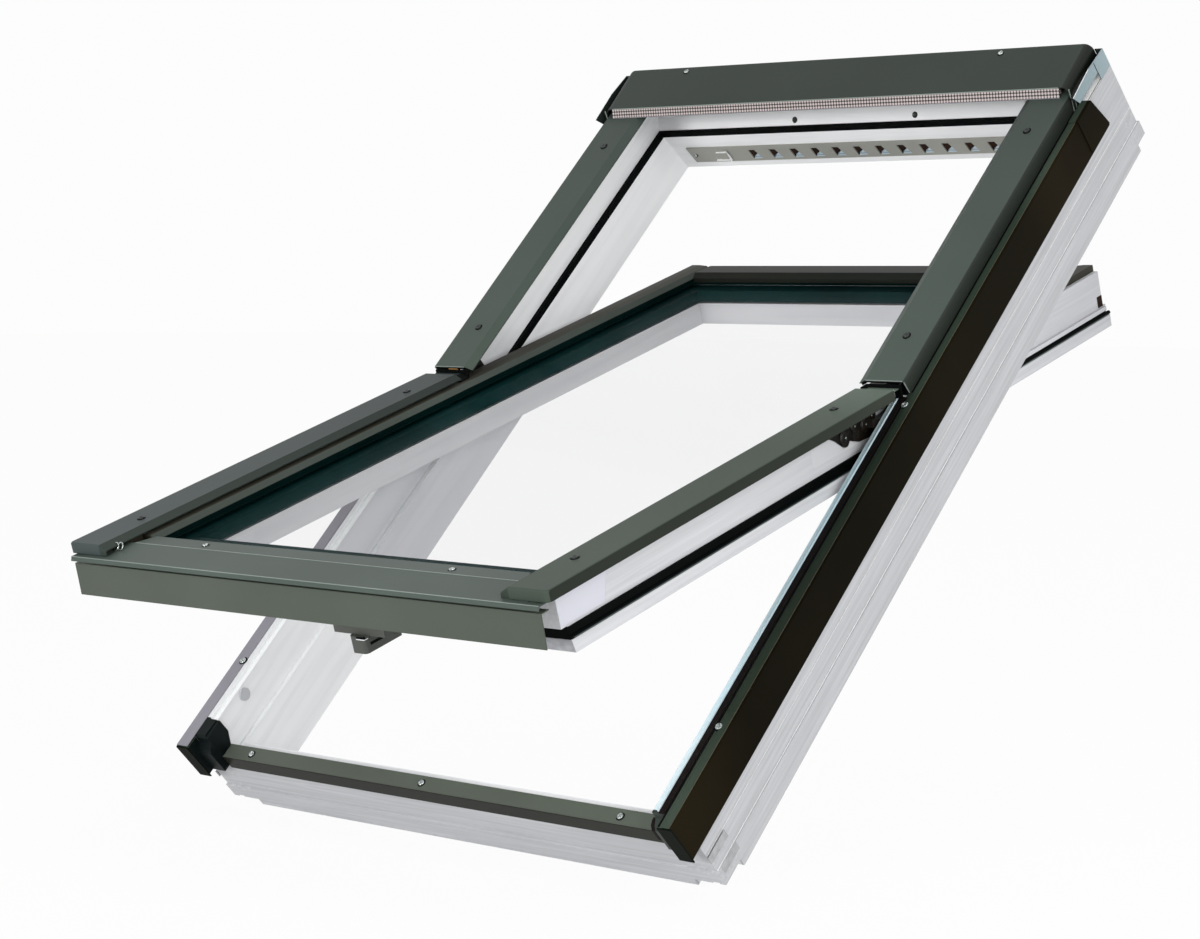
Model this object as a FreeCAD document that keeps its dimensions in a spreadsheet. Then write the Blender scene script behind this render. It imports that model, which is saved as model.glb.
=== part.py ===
# Centre-hung roof window: a pitched timber frame with metal covers and its leaf, swung open.
# Lengths are millimetres and angles are degrees.
# Every piece is drawn in window coordinates: X across, Y up the slope, Z out of the roof.
# The frame is then tipped by the roof pitch, and the leaf also turns about its pivot axis.
import FreeCAD, Part
import math
import os
import Sketcher

document = FreeCAD.newDocument("RoofWindow")
sheet = document.addObject("Spreadsheet::Sheet", "sizes")
row = [0]


# A size is a number together with the sheet expression that gives it
class Size:
    def __init__(self, text, value):
        self.text = text
        self.value = value

    def __add__(self, other):
        return Size("(" + self.text + " + " + other.text + ")", self.value + other.value)

    def __sub__(self, other):
        return Size("(" + self.text + " - " + other.text + ")", self.value - other.value)

    def __mul__(self, other):
        return Size("(" + self.text + " * " + other.text + ")", self.value * other.value)

    def __truediv__(self, other):
        return Size("(" + self.text + " / " + other.text + ")", self.value / other.value)

    def __neg__(self):
        return Size("(-" + self.text + ")", -self.value)


def number(value):
    return Size("(" + str(value) + ")", float(value))


def cosine(angle):
    return Size("cos(" + angle.text + ")", math.cos(math.radians(angle.value)))


def sine(angle):
    return Size("sin(" + angle.text + ")", math.sin(math.radians(angle.value)))


# Adds one named size to the sheet
def size(name, value):
    row[0] = row[0] + 1
    sheet.set("A" + str(row[0]), name)
    sheet.set("B" + str(row[0]), str(value))
    sheet.setAlias("B" + str(row[0]), name)
    return Size("sizes." + name, float(value))


none = number(0)
two = number(2)

# Whole window
frameWidth = size("frame_width", 780)
frameLength = size("frame_length", 1180)
pitch = size("roof_pitch", 45)
leafOpen = size("leaf_open", 27.3)
pivotUp = size("pivot_up", 614)
pivotOut = size("pivot_out", 170)
sheetMetal = size("sheet_thickness", 1.2)
fit = size("seat_fit", 0.3)

# Frame timber
roomDrop = size("room_lip", 10)
stepOut = size("outer_step_level", 21)
stepIn = size("outer_step_inset", 2.3)
woodTop = size("side_wood_top", 115.5)
sideDepth = size("side_wood_depth", 43.5)
revealStep = size("reveal_step", 7)
ledge = size("reveal_ledge", 66)
liningLip = size("lining_lip", 8)
liningGroove = size("lining_groove", 10)
liningDepth = size("lining_groove_depth", 12)
sillNotch = size("sill_corner_notch", 34)
headNotch = size("head_corner_notch", 22)
sillDepth = size("sill_depth", 42)
sillSlopeIn = size("sill_slope_inset", 5.5)
sillSlopeFoot = size("sill_slope_foot", 40)
sillStepDepth = size("sill_step_depth", 21)
sillWoodTop = size("sill_wood_top", 82.5)
headDepth = size("head_depth", 27)
headSlope = size("head_slope", 11.5)
sealLevel = size("seal_ledge_level", 57)
sealDepth = size("seal_depth", 5.5)
sealThick = size("seal_thickness", 8)
headSplay = size("head_splay", 16)
headSplayRise = size("head_splay_rise", 18)
fingerHeight = size("finger_height", 12)
fingerLow = size("finger_low_level", 4)
fingerPitch = size("finger_pitch", 24)
sealStart = size("seal_start", 640)

# Frame metal
stripWidth = size("edge_strip_width", 9.1)
stripUpstand = size("edge_strip_upstand", 3)
claddingInset = size("cladding_inset", 18.8)
claddingRibInset = size("cladding_rib_inset", 12)
claddingThick = size("cladding_thickness", 1.5)
claddingRib = size("cladding_rib_height", 1)
claddingFoot = size("cladding_foot_level", 66)
claddingOver = size("cladding_overhang", 15)
claddingStand = size("cladding_stand_off", 1)
claddingSlant = size("cladding_end_slant", 15)
claddingRound = size("cladding_edge_radius", 1.4)
claddingEnd = size("cladding_upper_end", 57)
capLap = size("cap_lap", 55)
capRaise = size("cap_foot_raise", 3)
frontPlateFoot = size("front_plate_foot", 62)
blockReach = size("end_block_reach", 8)
blockFoot = size("end_block_foot", 66)
blockKnee = size("end_block_knee_level", 98)
blockNeck = size("end_block_neck_level", 106)
blockTop = size("end_block_top", 118.5)
blockEnd = size("end_block_upper_end", 30)
blockRound = size("end_block_round", 3)
blockNotch = size("end_block_notch", 6)
rubberTop = size("rubber_strip_top", 118)
lipFoot = size("sill_lip_foot", 62)
lipGap = size("sill_lip_side_gap", 1.2)
blockInner = size("end_block_inner_flange", 5)
coverTop = size("cover_top", 138)
coverOuter = size("cover_outer_inset", 15)
coverWidth = size("cover_width", 54)
coverBevel = size("cover_bevel_width", 11)
coverBevelDrop = size("cover_bevel_drop", 6)
coverRound = size("cover_edge_radius", 2.5)
coverStart = size("upper_cover_start", 610)
coverEnd = size("upper_cover_end_gap", 12)
stripGap = size("strip_end_gap", 2)
hoodStart = size("hood_front", 1090)
hoodFrontTop = size("hood_front_top", 149)
hoodBackTop = size("hood_back_top", 153)
hoodRound = size("hood_side_radius", 12)
hoodBackRound = size("hood_back_radius", 4)
hoodFoot = size("hood_side_foot", 119)
hoodLean = size("hood_front_lean", 10)
hoodTail = size("hood_tail_level", 100)
meshThick = size("mesh_thickness", 1.5)
flashingFront = size("flashing_front_reach", 5)
flashingLean = size("flashing_front_lean", 8)
flashingFoot = size("flashing_foot", 128)
flashingTop = size("flashing_top", 146)
flashingDip = size("flashing_corner_dip", 3)
flashingRise = size("flashing_rise_length", 50)
flashingTab = size("flashing_tab_length", 27)

# Ventilation strip on the room side of the head
ventLow = size("vent_low_level", 2)
ventHigh = size("vent_high_level", 33)
ventThick = size("vent_thickness", 2)
ventEnd = size("vent_end_gap", 25)
punchFirst = size("punch_first_edge", 215)
punchPitch = size("punch_pitch", 36)
punchCount = size("punch_count", 14)
punchFootWidth = size("punch_foot_width", 16)
punchTopWidth = size("punch_top_width", 11)
punchLow = size("punch_low_level", 7)
punchHigh = size("punch_high_level", 25)
sliderInset = size("slider_end_inset", 51)
sliderWidth = size("slider_width", 19)
sliderThick = size("slider_thickness", 1.5)

# Leaf timber
leafGap = size("leaf_side_gap", 5.5)
leafStep = size("leaf_side_step", 5)
leafLow = size("leaf_low_end", 37)
leafLegLow = size("leaf_leg_low_end", 47)
leafTop = size("leaf_top_gap", 55.5)
leafLegTop = size("leaf_leg_top_gap", 49)
legBottom = size("leg_bottom", 43)
legTop = size("leg_top", 58)
railFoot = size("rail_foot_level", 72)
legNose = size("leg_nose_start", 44)
leafSealTop = size("leaf_seal_top", 71)
leafLipFoot = size("leaf_lip_foot", 66)
leafSealOver = size("leaf_seal_over_end", 1.5)
leafSealThick = size("leaf_seal_thickness", 3)
leafWoodTop = size("leaf_wood_top", 117.5)
leafSideWidth = size("leaf_side_width", 56)
legWidth = size("leg_width", 19)
rebateWidth = size("rebate_width", 24)
railDepth = size("bottom_rail_depth", 58)
topRailDepth = size("top_rail_depth", 59.5)
bottomShelf = size("bottom_rebate", 31)
bottomRaise = size("bottom_raise_depth", 6)

# Glazing
paneThick = size("pane_thickness", 4)
paneGap = size("pane_space", 16)
paneLow = size("inner_pane_level", 88)
paneSideFit = size("pane_side_fit", 2)
outerPaneStart = size("outer_pane_start", 44)
spacerInset = size("spacer_inset", 0.5)
spacerWidth = size("spacer_width", 26)
beadOver = size("bead_over_glass", 7)
beadWidth = size("bead_width", 20)
beadTop = size("bead_top", 126)
beadFoot = size("bead_foot_level", 112)
beadCapInset = size("bead_cap_inset", 6)
beadLine = size("bead_glass_line", 54)

# Leaf metal
leafCoverTop = size("leaf_cover_top", 136)
leafCoverFoot = size("leaf_cover_foot", 123.2)
leafCoverOuter = size("leaf_cover_outer_inset", 15.5)
leafCoverStart = size("leaf_cover_low_end", 10)
leafCoverEnd = size("leaf_cover_upper_end", 605)
leafCoverCorner = size("leaf_cover_corner_radius", 6)
leafBattenEnd = size("leaf_batten_end", 600)
leafBattenStart = size("leaf_batten_start", 57)
tongueLength = size("tongue_length", 20)
tongueDrop = size("tongue_drop", 4.5)
tongueInset = size("tongue_side_inset", 6)
lipReach = size("bottom_lip_reach", 17)
lipLean = size("bottom_lip_lean", 2)
bottomLipFoot = size("bottom_lip_foot", 117)
bottomLipTop = size("bottom_lip_top", 122.2)
ridgeLine = size("bottom_ridge_line", 29.4)
ridgeTop = size("bottom_ridge_top", 125.4)
ridgeSide = size("bottom_ridge_side_inset", 85)
flapTaper = size("bottom_flap_taper", 13)
flapLength = size("bottom_flap_length", 24.6)
flapPast = size("bottom_flap_past_bead", 4)
flapFall = size("bottom_flap_fall", 1)
lipSide = size("bottom_lip_side_inset", 24)
apronSide = size("apron_side_inset", 25.2)
apronReach = size("apron_reach", 15.3)
apronLean = size("apron_lean", 2.3)
apronFoot = size("apron_foot", 74.9)
wingReach = size("wing_reach", 3)

# Handle under the bottom rail
handleHalf = size("handle_half_width", 12)
handleBase = size("handle_base_half_width", 40)
handleReach = size("handle_reach", 6)
handleDepth = size("handle_depth", 56)
handleRound = size("handle_edge_radius", 5)
handleFoot = size("handle_foot_level", 3)
handleKnee = size("handle_knee_level", 23)

# Pivot hinges
hingeSkin = size("hinge_plate_thickness", 3)
hingePlateHalf = size("hinge_plate_half_length", 72)
hingePlateTop = size("hinge_plate_top", 112)
ribRadius = size("hinge_rib_inner_radius", 80)
ribDepth = size("hinge_rib_depth", 8)
ribHalf = size("hinge_rib_half_length", 36)
ribRun = size("hinge_rib_end_gap", 4.5)
shoeDepth = size("hinge_shoe_depth", 10)
shoeHalf = size("hinge_shoe_half_length", 26)
shoePlateLow = size("shoe_plate_low_level", 81)
shoePlateHigh = size("shoe_plate_high_level", 103)
shoePlateBelow = size("shoe_plate_below_pivot", 130)
shoePlateAbove = size("shoe_plate_above_pivot", 32)
bossRadius = size("hinge_boss_radius", 7)
bossHeight = size("hinge_boss_height", 3.5)
bossLine = size("hinge_boss_level", 93)
bossFirst = size("hinge_boss_first_below", 68)
bossSecond = size("hinge_boss_second_below", 47)
bushRadius = size("bolt_bush_radius", 8)
bushDepth = size("bolt_bush_depth", 3)
bushUp = size("bolt_bush_up", 80)
bushOut = size("bolt_bush_out", 106)
document.recompute()

# Lines that several pieces share
halfOuter = frameWidth / two
halfReveal = halfOuter - sideDepth
halfHigh = halfReveal + revealStep
halfLeaf = halfReveal - leafGap
halfWood = halfLeaf - leafStep
halfInner = halfWood - leafSideWidth
halfRebate = halfInner + rebateWidth
halfLeg = halfLeaf - legWidth
shoePlateStart = pivotUp - shoePlateBelow
shoePlateEnd = pivotUp + shoePlateAbove
headFace = frameLength - headDepth
headSealFace = headFace - headSlope
sealBack = headSealFace + sealDepth
headSplayFace = sealBack + headSplay
leafEnd = frameLength - leafTop
leafLegEnd = frameLength - leafLegTop
stripTop = woodTop + sheetMetal
claddingTop = woodTop + claddingThick
claddingIn = halfOuter - claddingInset
claddingFace = halfOuter + claddingStand
coverIn = halfOuter - coverOuter
coverFlat = coverIn - coverWidth
coverLip = coverFlat - coverBevel
leafCoverIn = halfOuter - leafCoverOuter
hoodBack = frameLength - stepIn
hoodHalf = coverIn + fit + sheetMetal
rubberIn = halfHigh + stripWidth


# The mean of two sizes
def midway(first, second):
    return (first + second) / two


# Puts a sheet expression on one property
def bind(item, prop, value):
    item.setExpression(prop, value.text)


# The three sections that profiles are drawn on: across X, across Y and across Z
planes = {"X": "YZ_Plane", "Y": "XZ_Plane", "Z": "XY_Plane"}
counter = [0]


def newName(word):
    counter[0] = counter[0] + 1
    return word + str(counter[0])


# A sketch in one of the three sections, set off along that section's axis
def sectionSketch(body, axis, start):
    sketch = body.newObject("Sketcher::SketchObject", newName("Profile"))
    for feature in body.Origin.OriginFeatures:
        if feature.Role == planes[axis]:
            sketch.AttachmentSupport = [(feature, "")]
    sketch.MapMode = "FlatFace"
    offset = start
    if axis == "Y":
        offset = -start
    bind(sketch, "AttachmentOffset.Base.z", offset)
    return sketch


# Ties one point of the sketch to its two sizes
def pinPoint(sketch, geometry, point, across, up):
    first = sketch.addConstraint(Sketcher.Constraint("DistanceX", -1, 1, geometry, point, across.value))
    sketch.setExpression("Constraints[" + str(first) + "]", across.text)
    second = sketch.addConstraint(Sketcher.Constraint("DistanceY", -1, 1, geometry, point, up.value))
    sketch.setExpression("Constraints[" + str(second) + "]", up.text)


# A closed outline of straight edges
def drawOutline(sketch, outline):
    first = sketch.GeometryCount
    corners = [FreeCAD.Vector(across.value, up.value, 0) for across, up in outline]
    for index in range(len(corners)):
        following = corners[(index + 1) % len(corners)]
        sketch.addGeometry(Part.LineSegment(corners[index], following), False)
    for index in range(len(corners)):
        following = first + (index + 1) % len(corners)
        sketch.addConstraint(Sketcher.Constraint("Coincident", first + index, 2, following, 1))
    for index, corner in enumerate(outline):
        pinPoint(sketch, first + index, 1, corner[0], corner[1])


def drawCircle(sketch, across, up, radius):
    centre = FreeCAD.Vector(across.value, up.value, 0)
    circle = sketch.addGeometry(Part.Circle(centre, FreeCAD.Vector(0, 0, 1), radius.value), False)
    pinPoint(sketch, circle, 3, across, up)
    entry = sketch.addConstraint(Sketcher.Constraint("Radius", circle, radius.value))
    sketch.setExpression("Constraints[" + str(entry) + "]", radius.text)


# A ring segment hanging below its centre, with upright ends half a length each side
def drawHanging(sketch, across, up, inner, outer, half):
    centre = FreeCAD.Vector(across.value, up.value, 0)
    upright = FreeCAD.Vector(0, 0, 1)
    arcs = []
    for radius in (inner, outer):
        turn = math.asin(half.value / radius.value)
        circle = Part.Circle(centre, upright, radius.value)
        arc = Part.ArcOfCircle(circle, 1.5 * math.pi - turn, 1.5 * math.pi + turn)
        arcs.append(sketch.addGeometry(arc, False))
    ends = []
    for point in (1, 2):
        line = Part.LineSegment(sketch.getPoint(arcs[0], point), sketch.getPoint(arcs[1], point))
        ends.append(sketch.addGeometry(line, False))
    for point, line in ((1, ends[0]), (2, ends[1])):
        sketch.addConstraint(Sketcher.Constraint("Coincident", line, 1, arcs[0], point))
        sketch.addConstraint(Sketcher.Constraint("Coincident", line, 2, arcs[1], point))
    sketch.addConstraint(Sketcher.Constraint("Coincident", arcs[0], 3, arcs[1], 3))
    pinPoint(sketch, arcs[0], 3, across, up)
    for arc, radius in ((arcs[0], inner), (arcs[1], outer)):
        entry = sketch.addConstraint(Sketcher.Constraint("Radius", arc, radius.value))
        sketch.setExpression("Constraints[" + str(entry) + "]", radius.text)
        for point, place in ((1, across - half), (2, across + half)):
            rule = Sketcher.Constraint("DistanceX", -1, 1, arc, point, place.value)
            entry = sketch.addConstraint(rule)
            sketch.setExpression("Constraints[" + str(entry) + "]", place.text)


nodes = []


def newBody(node):
    body = document.addObject("PartDesign::Body", "Body_" + node)
    body.Label = node
    nodes.append(body)
    return body


def raisePad(body, axis, sketch, start, end):
    pad = body.newObject("PartDesign::Pad", newName("Pad"))
    pad.Profile = sketch
    bind(pad, "Length", end - start)
    pad.Reversed = axis == "Y"
    return pad


# Adds a straight run of one profile to a body
def run(body, axis, outline, start, end):
    sketch = sectionSketch(body, axis, start)
    drawOutline(sketch, outline)
    return raisePad(body, axis, sketch, start, end)


def runCircle(body, axis, across, up, radius, start, end):
    sketch = sectionSketch(body, axis, start)
    drawCircle(sketch, across, up, radius)
    return raisePad(body, axis, sketch, start, end)


def runHanging(body, across, up, inner, outer, half, start, end):
    sketch = sectionSketch(body, "X", start)
    drawHanging(sketch, across, up, inner, outer, half)
    return raisePad(body, "X", sketch, start, end)


cuts = []


# Takes a straight run of one profile away from a body
def cut(body, axis, outline, start, end):
    document.recompute()
    before = body.Shape.Volume
    sketch = sectionSketch(body, axis, start)
    drawOutline(sketch, outline)
    pocket = body.newObject("PartDesign::Pocket", newName("Pocket"))
    pocket.Profile = sketch
    bind(pocket, "Length", end - start)
    pocket.Reversed = axis != "Y"
    document.recompute()
    cuts.append((body.Label, before, body.Shape.Volume))
    return pocket


def cutCircle(body, axis, across, up, radius, start, end):
    document.recompute()
    before = body.Shape.Volume
    sketch = sectionSketch(body, axis, start)
    drawCircle(sketch, across, up, radius)
    pocket = body.newObject("PartDesign::Pocket", newName("Pocket"))
    pocket.Profile = sketch
    bind(pocket, "Length", end - start)
    pocket.Reversed = axis != "Y"
    document.recompute()
    cuts.append((body.Label, before, body.Shape.Volume))
    return pocket


# The edge or face of a feature that each place lies on
def partsAt(feature, kind, places):
    names = []
    parts = feature.Shape.Edges if kind == "Edge" else feature.Shape.Faces
    for across, up, out in places:
        point = Part.Vertex(across.value, up.value, out.value)
        away = [part.distToShape(point)[0] for part in parts]
        names.append(kind + str(away.index(min(away)) + 1))
    return names


# Rounds the edges that the places lie on
def roundEdges(body, radius, places):
    document.recompute()
    base = body.Tip
    fillet = body.newObject("PartDesign::Fillet", newName("Round"))
    fillet.Base = (base, partsAt(base, "Edge", places))
    bind(fillet, "Radius", radius)
    return fillet


# Leaves a thin sheet, open at the faces that the places lie on
def hollow(body, thickness, places):
    document.recompute()
    before = body.Shape.Volume
    base = body.Tip
    shell = body.newObject("PartDesign::Thickness", newName("Sheet"))
    shell.Base = (base, partsAt(base, "Face", places))
    shell.Reversed = True
    bind(shell, "Value", thickness)
    document.recompute()
    cuts.append((body.Label, before, body.Shape.Volume))
    return shell


# A rectangle between two corners
def rectangle(left, low, right, high):
    return [(left, low), (right, low), (right, high), (left, high)]


# The same outline on the right (1) or mirrored to the left (-1)
def sided(outline, hand):
    if hand > 0:
        return outline
    return [(-across, up) for across, up in outline]


# A run along X between two distances from the middle, on one hand
def sidedRun(body, outline, near, far, hand):
    if hand > 0:
        return run(body, "X", outline, near, far)
    return run(body, "X", outline, -far, -near)


def sidedCut(body, outline, near, far, hand):
    if hand > 0:
        return cut(body, "X", outline, near, far)
    return cut(body, "X", outline, -far, -near)


# Tips a frame piece to the roof pitch
def onFrame(body):
    across = FreeCAD.Vector(1, 0, 0)
    body.Placement = FreeCAD.Placement(FreeCAD.Vector(), FreeCAD.Rotation(across, pitch.value))
    bind(body, "Placement.Rotation.Angle", pitch)


# Tips a leaf piece and swings it about the pivot axis
def onLeaf(body):
    turn = pitch - leafOpen
    across = FreeCAD.Vector(1, 0, 0)
    body.Placement = FreeCAD.Placement(FreeCAD.Vector(), FreeCAD.Rotation(across, turn.value))
    bind(body, "Placement.Rotation.Angle", turn)
    tippedUp = pivotUp * cosine(pitch) - pivotOut * sine(pitch)
    tippedOut = pivotUp * sine(pitch) + pivotOut * cosine(pitch)
    bind(body, "Placement.Base.y", tippedUp - pivotUp * cosine(turn) + pivotOut * sine(turn))
    bind(body, "Placement.Base.z", tippedOut - pivotUp * sine(turn) - pivotOut * cosine(turn))


hands = (("left", -1), ("right", 1))
fingers = []
for index in range(2):
    low = fingerLow + fingerPitch * number(index)
    fingers.append((low, low + fingerHeight, none if index == 0 else stepIn))

# Side members of the frame, stepped inside, grooved for the room lining and cut for the rails' fingers
for word, hand in hands:
    body = newBody("frame_side_" + word)
    grooveOut = halfOuter - liningLip
    grooveIn = grooveOut - liningGroove
    outline = [(halfReveal, -roomDrop), (grooveIn, -roomDrop), (grooveIn, liningDepth - roomDrop),
               (grooveOut, liningDepth - roomDrop), (grooveOut, -roomDrop), (halfOuter, -roomDrop),
               (halfOuter, stepOut), (halfOuter - stepIn, stepOut), (halfOuter - stepIn, woodTop),
               (halfHigh, woodTop), (halfHigh, ledge), (halfReveal, ledge)]
    run(body, "Y", sided(outline, hand), none, frameLength)
    sidedCut(body, rectangle(none, stepOut, stepIn, woodTop), halfReveal, halfOuter, hand)
    high = rectangle(frameLength - stepIn, stepOut, frameLength, woodTop)
    sidedCut(body, high, halfReveal, halfOuter, hand)
    sidedCut(body, rectangle(none, -roomDrop, sillNotch, none), halfReveal, halfOuter, hand)
    notch = rectangle(frameLength - headNotch, -roomDrop, frameLength, none)
    sidedCut(body, notch, halfReveal, halfOuter, hand)
    for low, top, inset in fingers:
        sidedCut(body, rectangle(inset, low, sillDepth, top), halfReveal, halfOuter, hand)
        slot = rectangle(frameLength - headDepth, low, frameLength - inset, top)
        sidedCut(body, slot, halfReveal, halfOuter, hand)
    sidedCut(body, rectangle(sealStart, sealLevel, sealBack, ledge), halfReveal, halfHigh, hand)
    corner = rectangle(stepIn, blockKnee, stepIn + blockNotch, woodTop)
    sidedCut(body, corner, halfHigh, claddingIn, hand)
    onFrame(body)

# Sill with its raised weather step
body = newBody("frame_sill")
outline = [(none, -roomDrop), (liningLip, -roomDrop), (liningLip, liningDepth - roomDrop),
           (liningLip + liningGroove, liningDepth - roomDrop), (liningLip + liningGroove, -roomDrop),
           (sillDepth, -roomDrop), (sillDepth, sillSlopeFoot), (sillDepth - sillSlopeIn, ledge),
           (sillStepDepth, ledge), (sillStepDepth, sillWoodTop), (stepIn, sillWoodTop), (stepIn, stepOut),
           (none, stepOut)]
run(body, "X", outline, -halfReveal, halfReveal)
for low, top, inset in fingers:
    reach = halfOuter - inset
    run(body, "X", rectangle(inset, low, sillDepth, top), -reach, reach)
onFrame(body)

# Head with its inclined room face, seal ledge and splayed outer face
body = newBody("frame_head")
back = frameLength
outline = [(back, -roomDrop), (back - liningLip, -roomDrop), (back - liningLip, liningDepth - roomDrop),
           (back - liningLip - liningGroove, liningDepth - roomDrop),
           (back - liningLip - liningGroove, -roomDrop), (headFace, -roomDrop), (headSealFace, sealLevel),
           (sealBack, sealLevel), (sealBack, ledge), (back - stepIn, ledge), (back - stepIn, stepOut),
           (back, stepOut)]
run(body, "X", outline, -halfReveal, halfReveal)
upper = [(sealBack, ledge), (headSplayFace, ledge + headSplayRise), (headSplayFace, woodTop),
         (back - stepIn, woodTop), (back - stepIn, ledge)]
run(body, "X", upper, -halfHigh, halfHigh)
for low, top, inset in fingers:
    reach = halfOuter - inset
    run(body, "X", rectangle(headFace, low, back - inset, top), -reach, reach)
onFrame(body)

# Black seal on the ledge round the upper half
body = newBody("frame_seal")
run(body, "X", rectangle(headSealFace, sealLevel, sealBack, sealLevel + sealThick), -halfHigh, halfHigh)
for word, hand in hands:
    leg = rectangle(sealStart, sealLevel, sealBack, sealLevel + sealThick)
    sidedRun(body, leg, halfReveal, halfHigh, hand)
onFrame(body)

# Metal edge strips beside the reveal, lower half
for word, hand in hands:
    body = newBody("edge_strip_" + word)
    stripOut = halfHigh + stripWidth
    outline = [(halfHigh, woodTop), (stripOut, woodTop), (stripOut, stripTop + stripUpstand),
               (stripOut - sheetMetal, stripTop + stripUpstand), (stripOut - sheetMetal, stripTop),
               (halfHigh, stripTop)]
    run(body, "Y", sided(outline, hand), blockEnd, coverStart - stripGap)
    onFrame(body)

# Side cladding, folded over the outer edge, with a slanted upper end and a plate across the lower end
for word, hand in hands:
    body = newBody("side_cladding_" + word)
    ribIn = halfOuter - claddingRibInset
    inner = claddingFace - claddingThick
    outline = [(claddingIn, woodTop), (inner, woodTop), (inner, claddingFoot), (claddingFace, claddingFoot),
               (claddingFace, claddingTop + claddingRib), (ribIn, claddingTop + claddingRib),
               (ribIn, claddingTop), (claddingIn, claddingTop)]
    end = frameLength - claddingEnd
    run(body, "Y", sided(outline, hand), -claddingOver, end)
    edge = claddingTop + claddingRib
    place = (claddingFace if hand > 0 else -claddingFace, midway(none, end), edge)
    roundEdges(body, claddingRound, [place])
    slant = [(end - claddingSlant, edge), (end, edge), (end, claddingFoot)]
    sidedCut(body, slant, claddingIn, claddingFace, hand)
    plate = rectangle(claddingIn, frontPlateFoot, claddingFace, claddingTop)
    run(body, "Y", sided(plate, hand), -claddingOver - claddingThick, -claddingOver)
    onFrame(body)

# Caps that lap the cladding at the head
for word, hand in hands:
    body = newBody("cladding_cap_" + word)
    ribIn = halfOuter - claddingRibInset
    top = claddingTop + claddingRib
    end = frameLength - claddingEnd
    start = end - capLap
    foot = claddingFoot + capRaise
    plate = [(start, foot), (end, foot), (end - claddingSlant, top + sheetMetal), (start, top + sheetMetal)]
    sidedRun(body, plate, claddingFace, claddingFace + sheetMetal, hand)
    flange = rectangle(start, top, end - claddingSlant, top + sheetMetal)
    sidedRun(body, flange, ribIn, claddingFace + sheetMetal, hand)
    onFrame(body)

# Black rubber strips with moulded ends that close the cladding beside the sill
for word, hand in hands:
    body = newBody("edge_seal_" + word)
    strip = rectangle(rubberIn, woodTop, claddingIn, rubberTop)
    run(body, "Y", sided(strip, hand), midway(stepIn, blockEnd), coverStart - stripGap)
    notch = stepIn + blockNotch
    block = [(stepIn, blockFoot), (-blockReach, blockFoot), (-blockReach, blockKnee),
             (blockRound - blockReach, blockNeck - blockRound), (none, blockNeck),
             (stepIn, blockNeck + blockRound), (stepIn, woodTop), (stepIn + blockRound, blockTop),
             (notch, blockTop), (blockEnd, rubberTop), (blockEnd, woodTop), (notch, woodTop),
             (notch, blockKnee), (stepIn, blockKnee)]
    sidedRun(body, block, halfHigh, claddingIn, hand)
    flange = [(-blockReach, blockFoot), (-blockReach, blockKnee),
              (blockRound - blockReach, blockNeck - blockRound), (none, blockNeck),
              (stepIn, blockNeck + blockRound), (stepIn, claddingTop), (blockEnd, claddingTop),
              (blockEnd, blockKnee), (sillStepDepth, sillWoodTop), (sillStepDepth, blockFoot)]
    sidedRun(body, flange, halfHigh - blockInner, halfHigh, hand)
    filling = rectangle(claddingIn, claddingFoot, claddingFace - claddingThick, woodTop)
    run(body, "Y", sided(filling, hand), -claddingOver, stepIn - fit)
    onFrame(body)

# Sill cladding over the weather step, with a lip down the front
body = newBody("sill_cladding")
front = stepIn - sheetMetal
outline = [(front, lipFoot), (stepIn, lipFoot), (stepIn, sillWoodTop), (sillStepDepth, sillWoodTop),
           (sillStepDepth, sillWoodTop + sheetMetal), (front, sillWoodTop + sheetMetal)]
run(body, "X", outline, -halfReveal, halfReveal)
lip = rectangle(front, lipFoot, stepIn, sillWoodTop + sheetMetal)
lipHalf = halfHigh - blockInner - lipGap
run(body, "X", lip, -lipHalf, lipHalf)
onFrame(body)

# Upper side covers, fixed to the frame: a folded sheet, open at both ends
for word, hand in hands:
    body = newBody("upper_cover_" + word)
    end = frameLength - coverEnd
    outline = [(coverIn, claddingTop), (coverIn, coverTop), (coverFlat, coverTop),
               (coverLip, coverTop - coverBevelDrop), (coverLip, claddingTop)]
    run(body, "Y", sided(outline, hand), coverStart, end)
    outer = coverIn if hand > 0 else -coverIn
    inner = coverLip if hand > 0 else -coverLip
    middle = midway(outer, inner)
    along = midway(coverStart, end)
    low = midway(claddingTop, coverTop - coverBevelDrop)
    roundEdges(body, coverRound, [(outer, along, coverTop)])
    hollow(body, sheetMetal, [(middle, along, claddingTop), (inner, along, low), (middle, coverStart, low),
                              (middle, end, low)])
    onFrame(body)

# Head cover: a hood with rolled sides over the top ends of the side covers
body = newBody("head_cover")
back = hoodBack + sheetMetal
hoodEdge = hoodStart + hoodLean
outline = [(hoodStart, hoodFoot), (hoodEdge, hoodFrontTop), (back, hoodBackTop), (back, hoodFoot)]
run(body, "X", outline, -hoodHalf, hoodHalf)
ridge = (midway(hoodEdge, back), midway(hoodFrontTop, hoodBackTop))
roundEdges(body, hoodRound, [(-hoodHalf, ridge[0], ridge[1]), (hoodHalf, ridge[0], ridge[1])])
roundEdges(body, hoodBackRound, [(none, back, hoodBackTop)])
front = (none, midway(hoodStart, hoodEdge), midway(hoodFoot, hoodFrontTop))
hollow(body, sheetMetal, [front, (none, ridge[0], hoodFoot)])
run(body, "X", rectangle(hoodBack, hoodTail, back, midway(hoodFoot, hoodFrontTop)), -hoodHalf, hoodHalf)
onFrame(body)

# Mesh strip below the front edge of the hood
body = newBody("head_mesh")
near = hoodEdge + fit
outline = rectangle(near, coverTop, near + meshThick, hoodFrontTop - sheetMetal)
meshHalf = hoodHalf - hoodRound - sheetMetal
run(body, "X", outline, -meshHalf, meshHalf)
onFrame(body)

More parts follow.
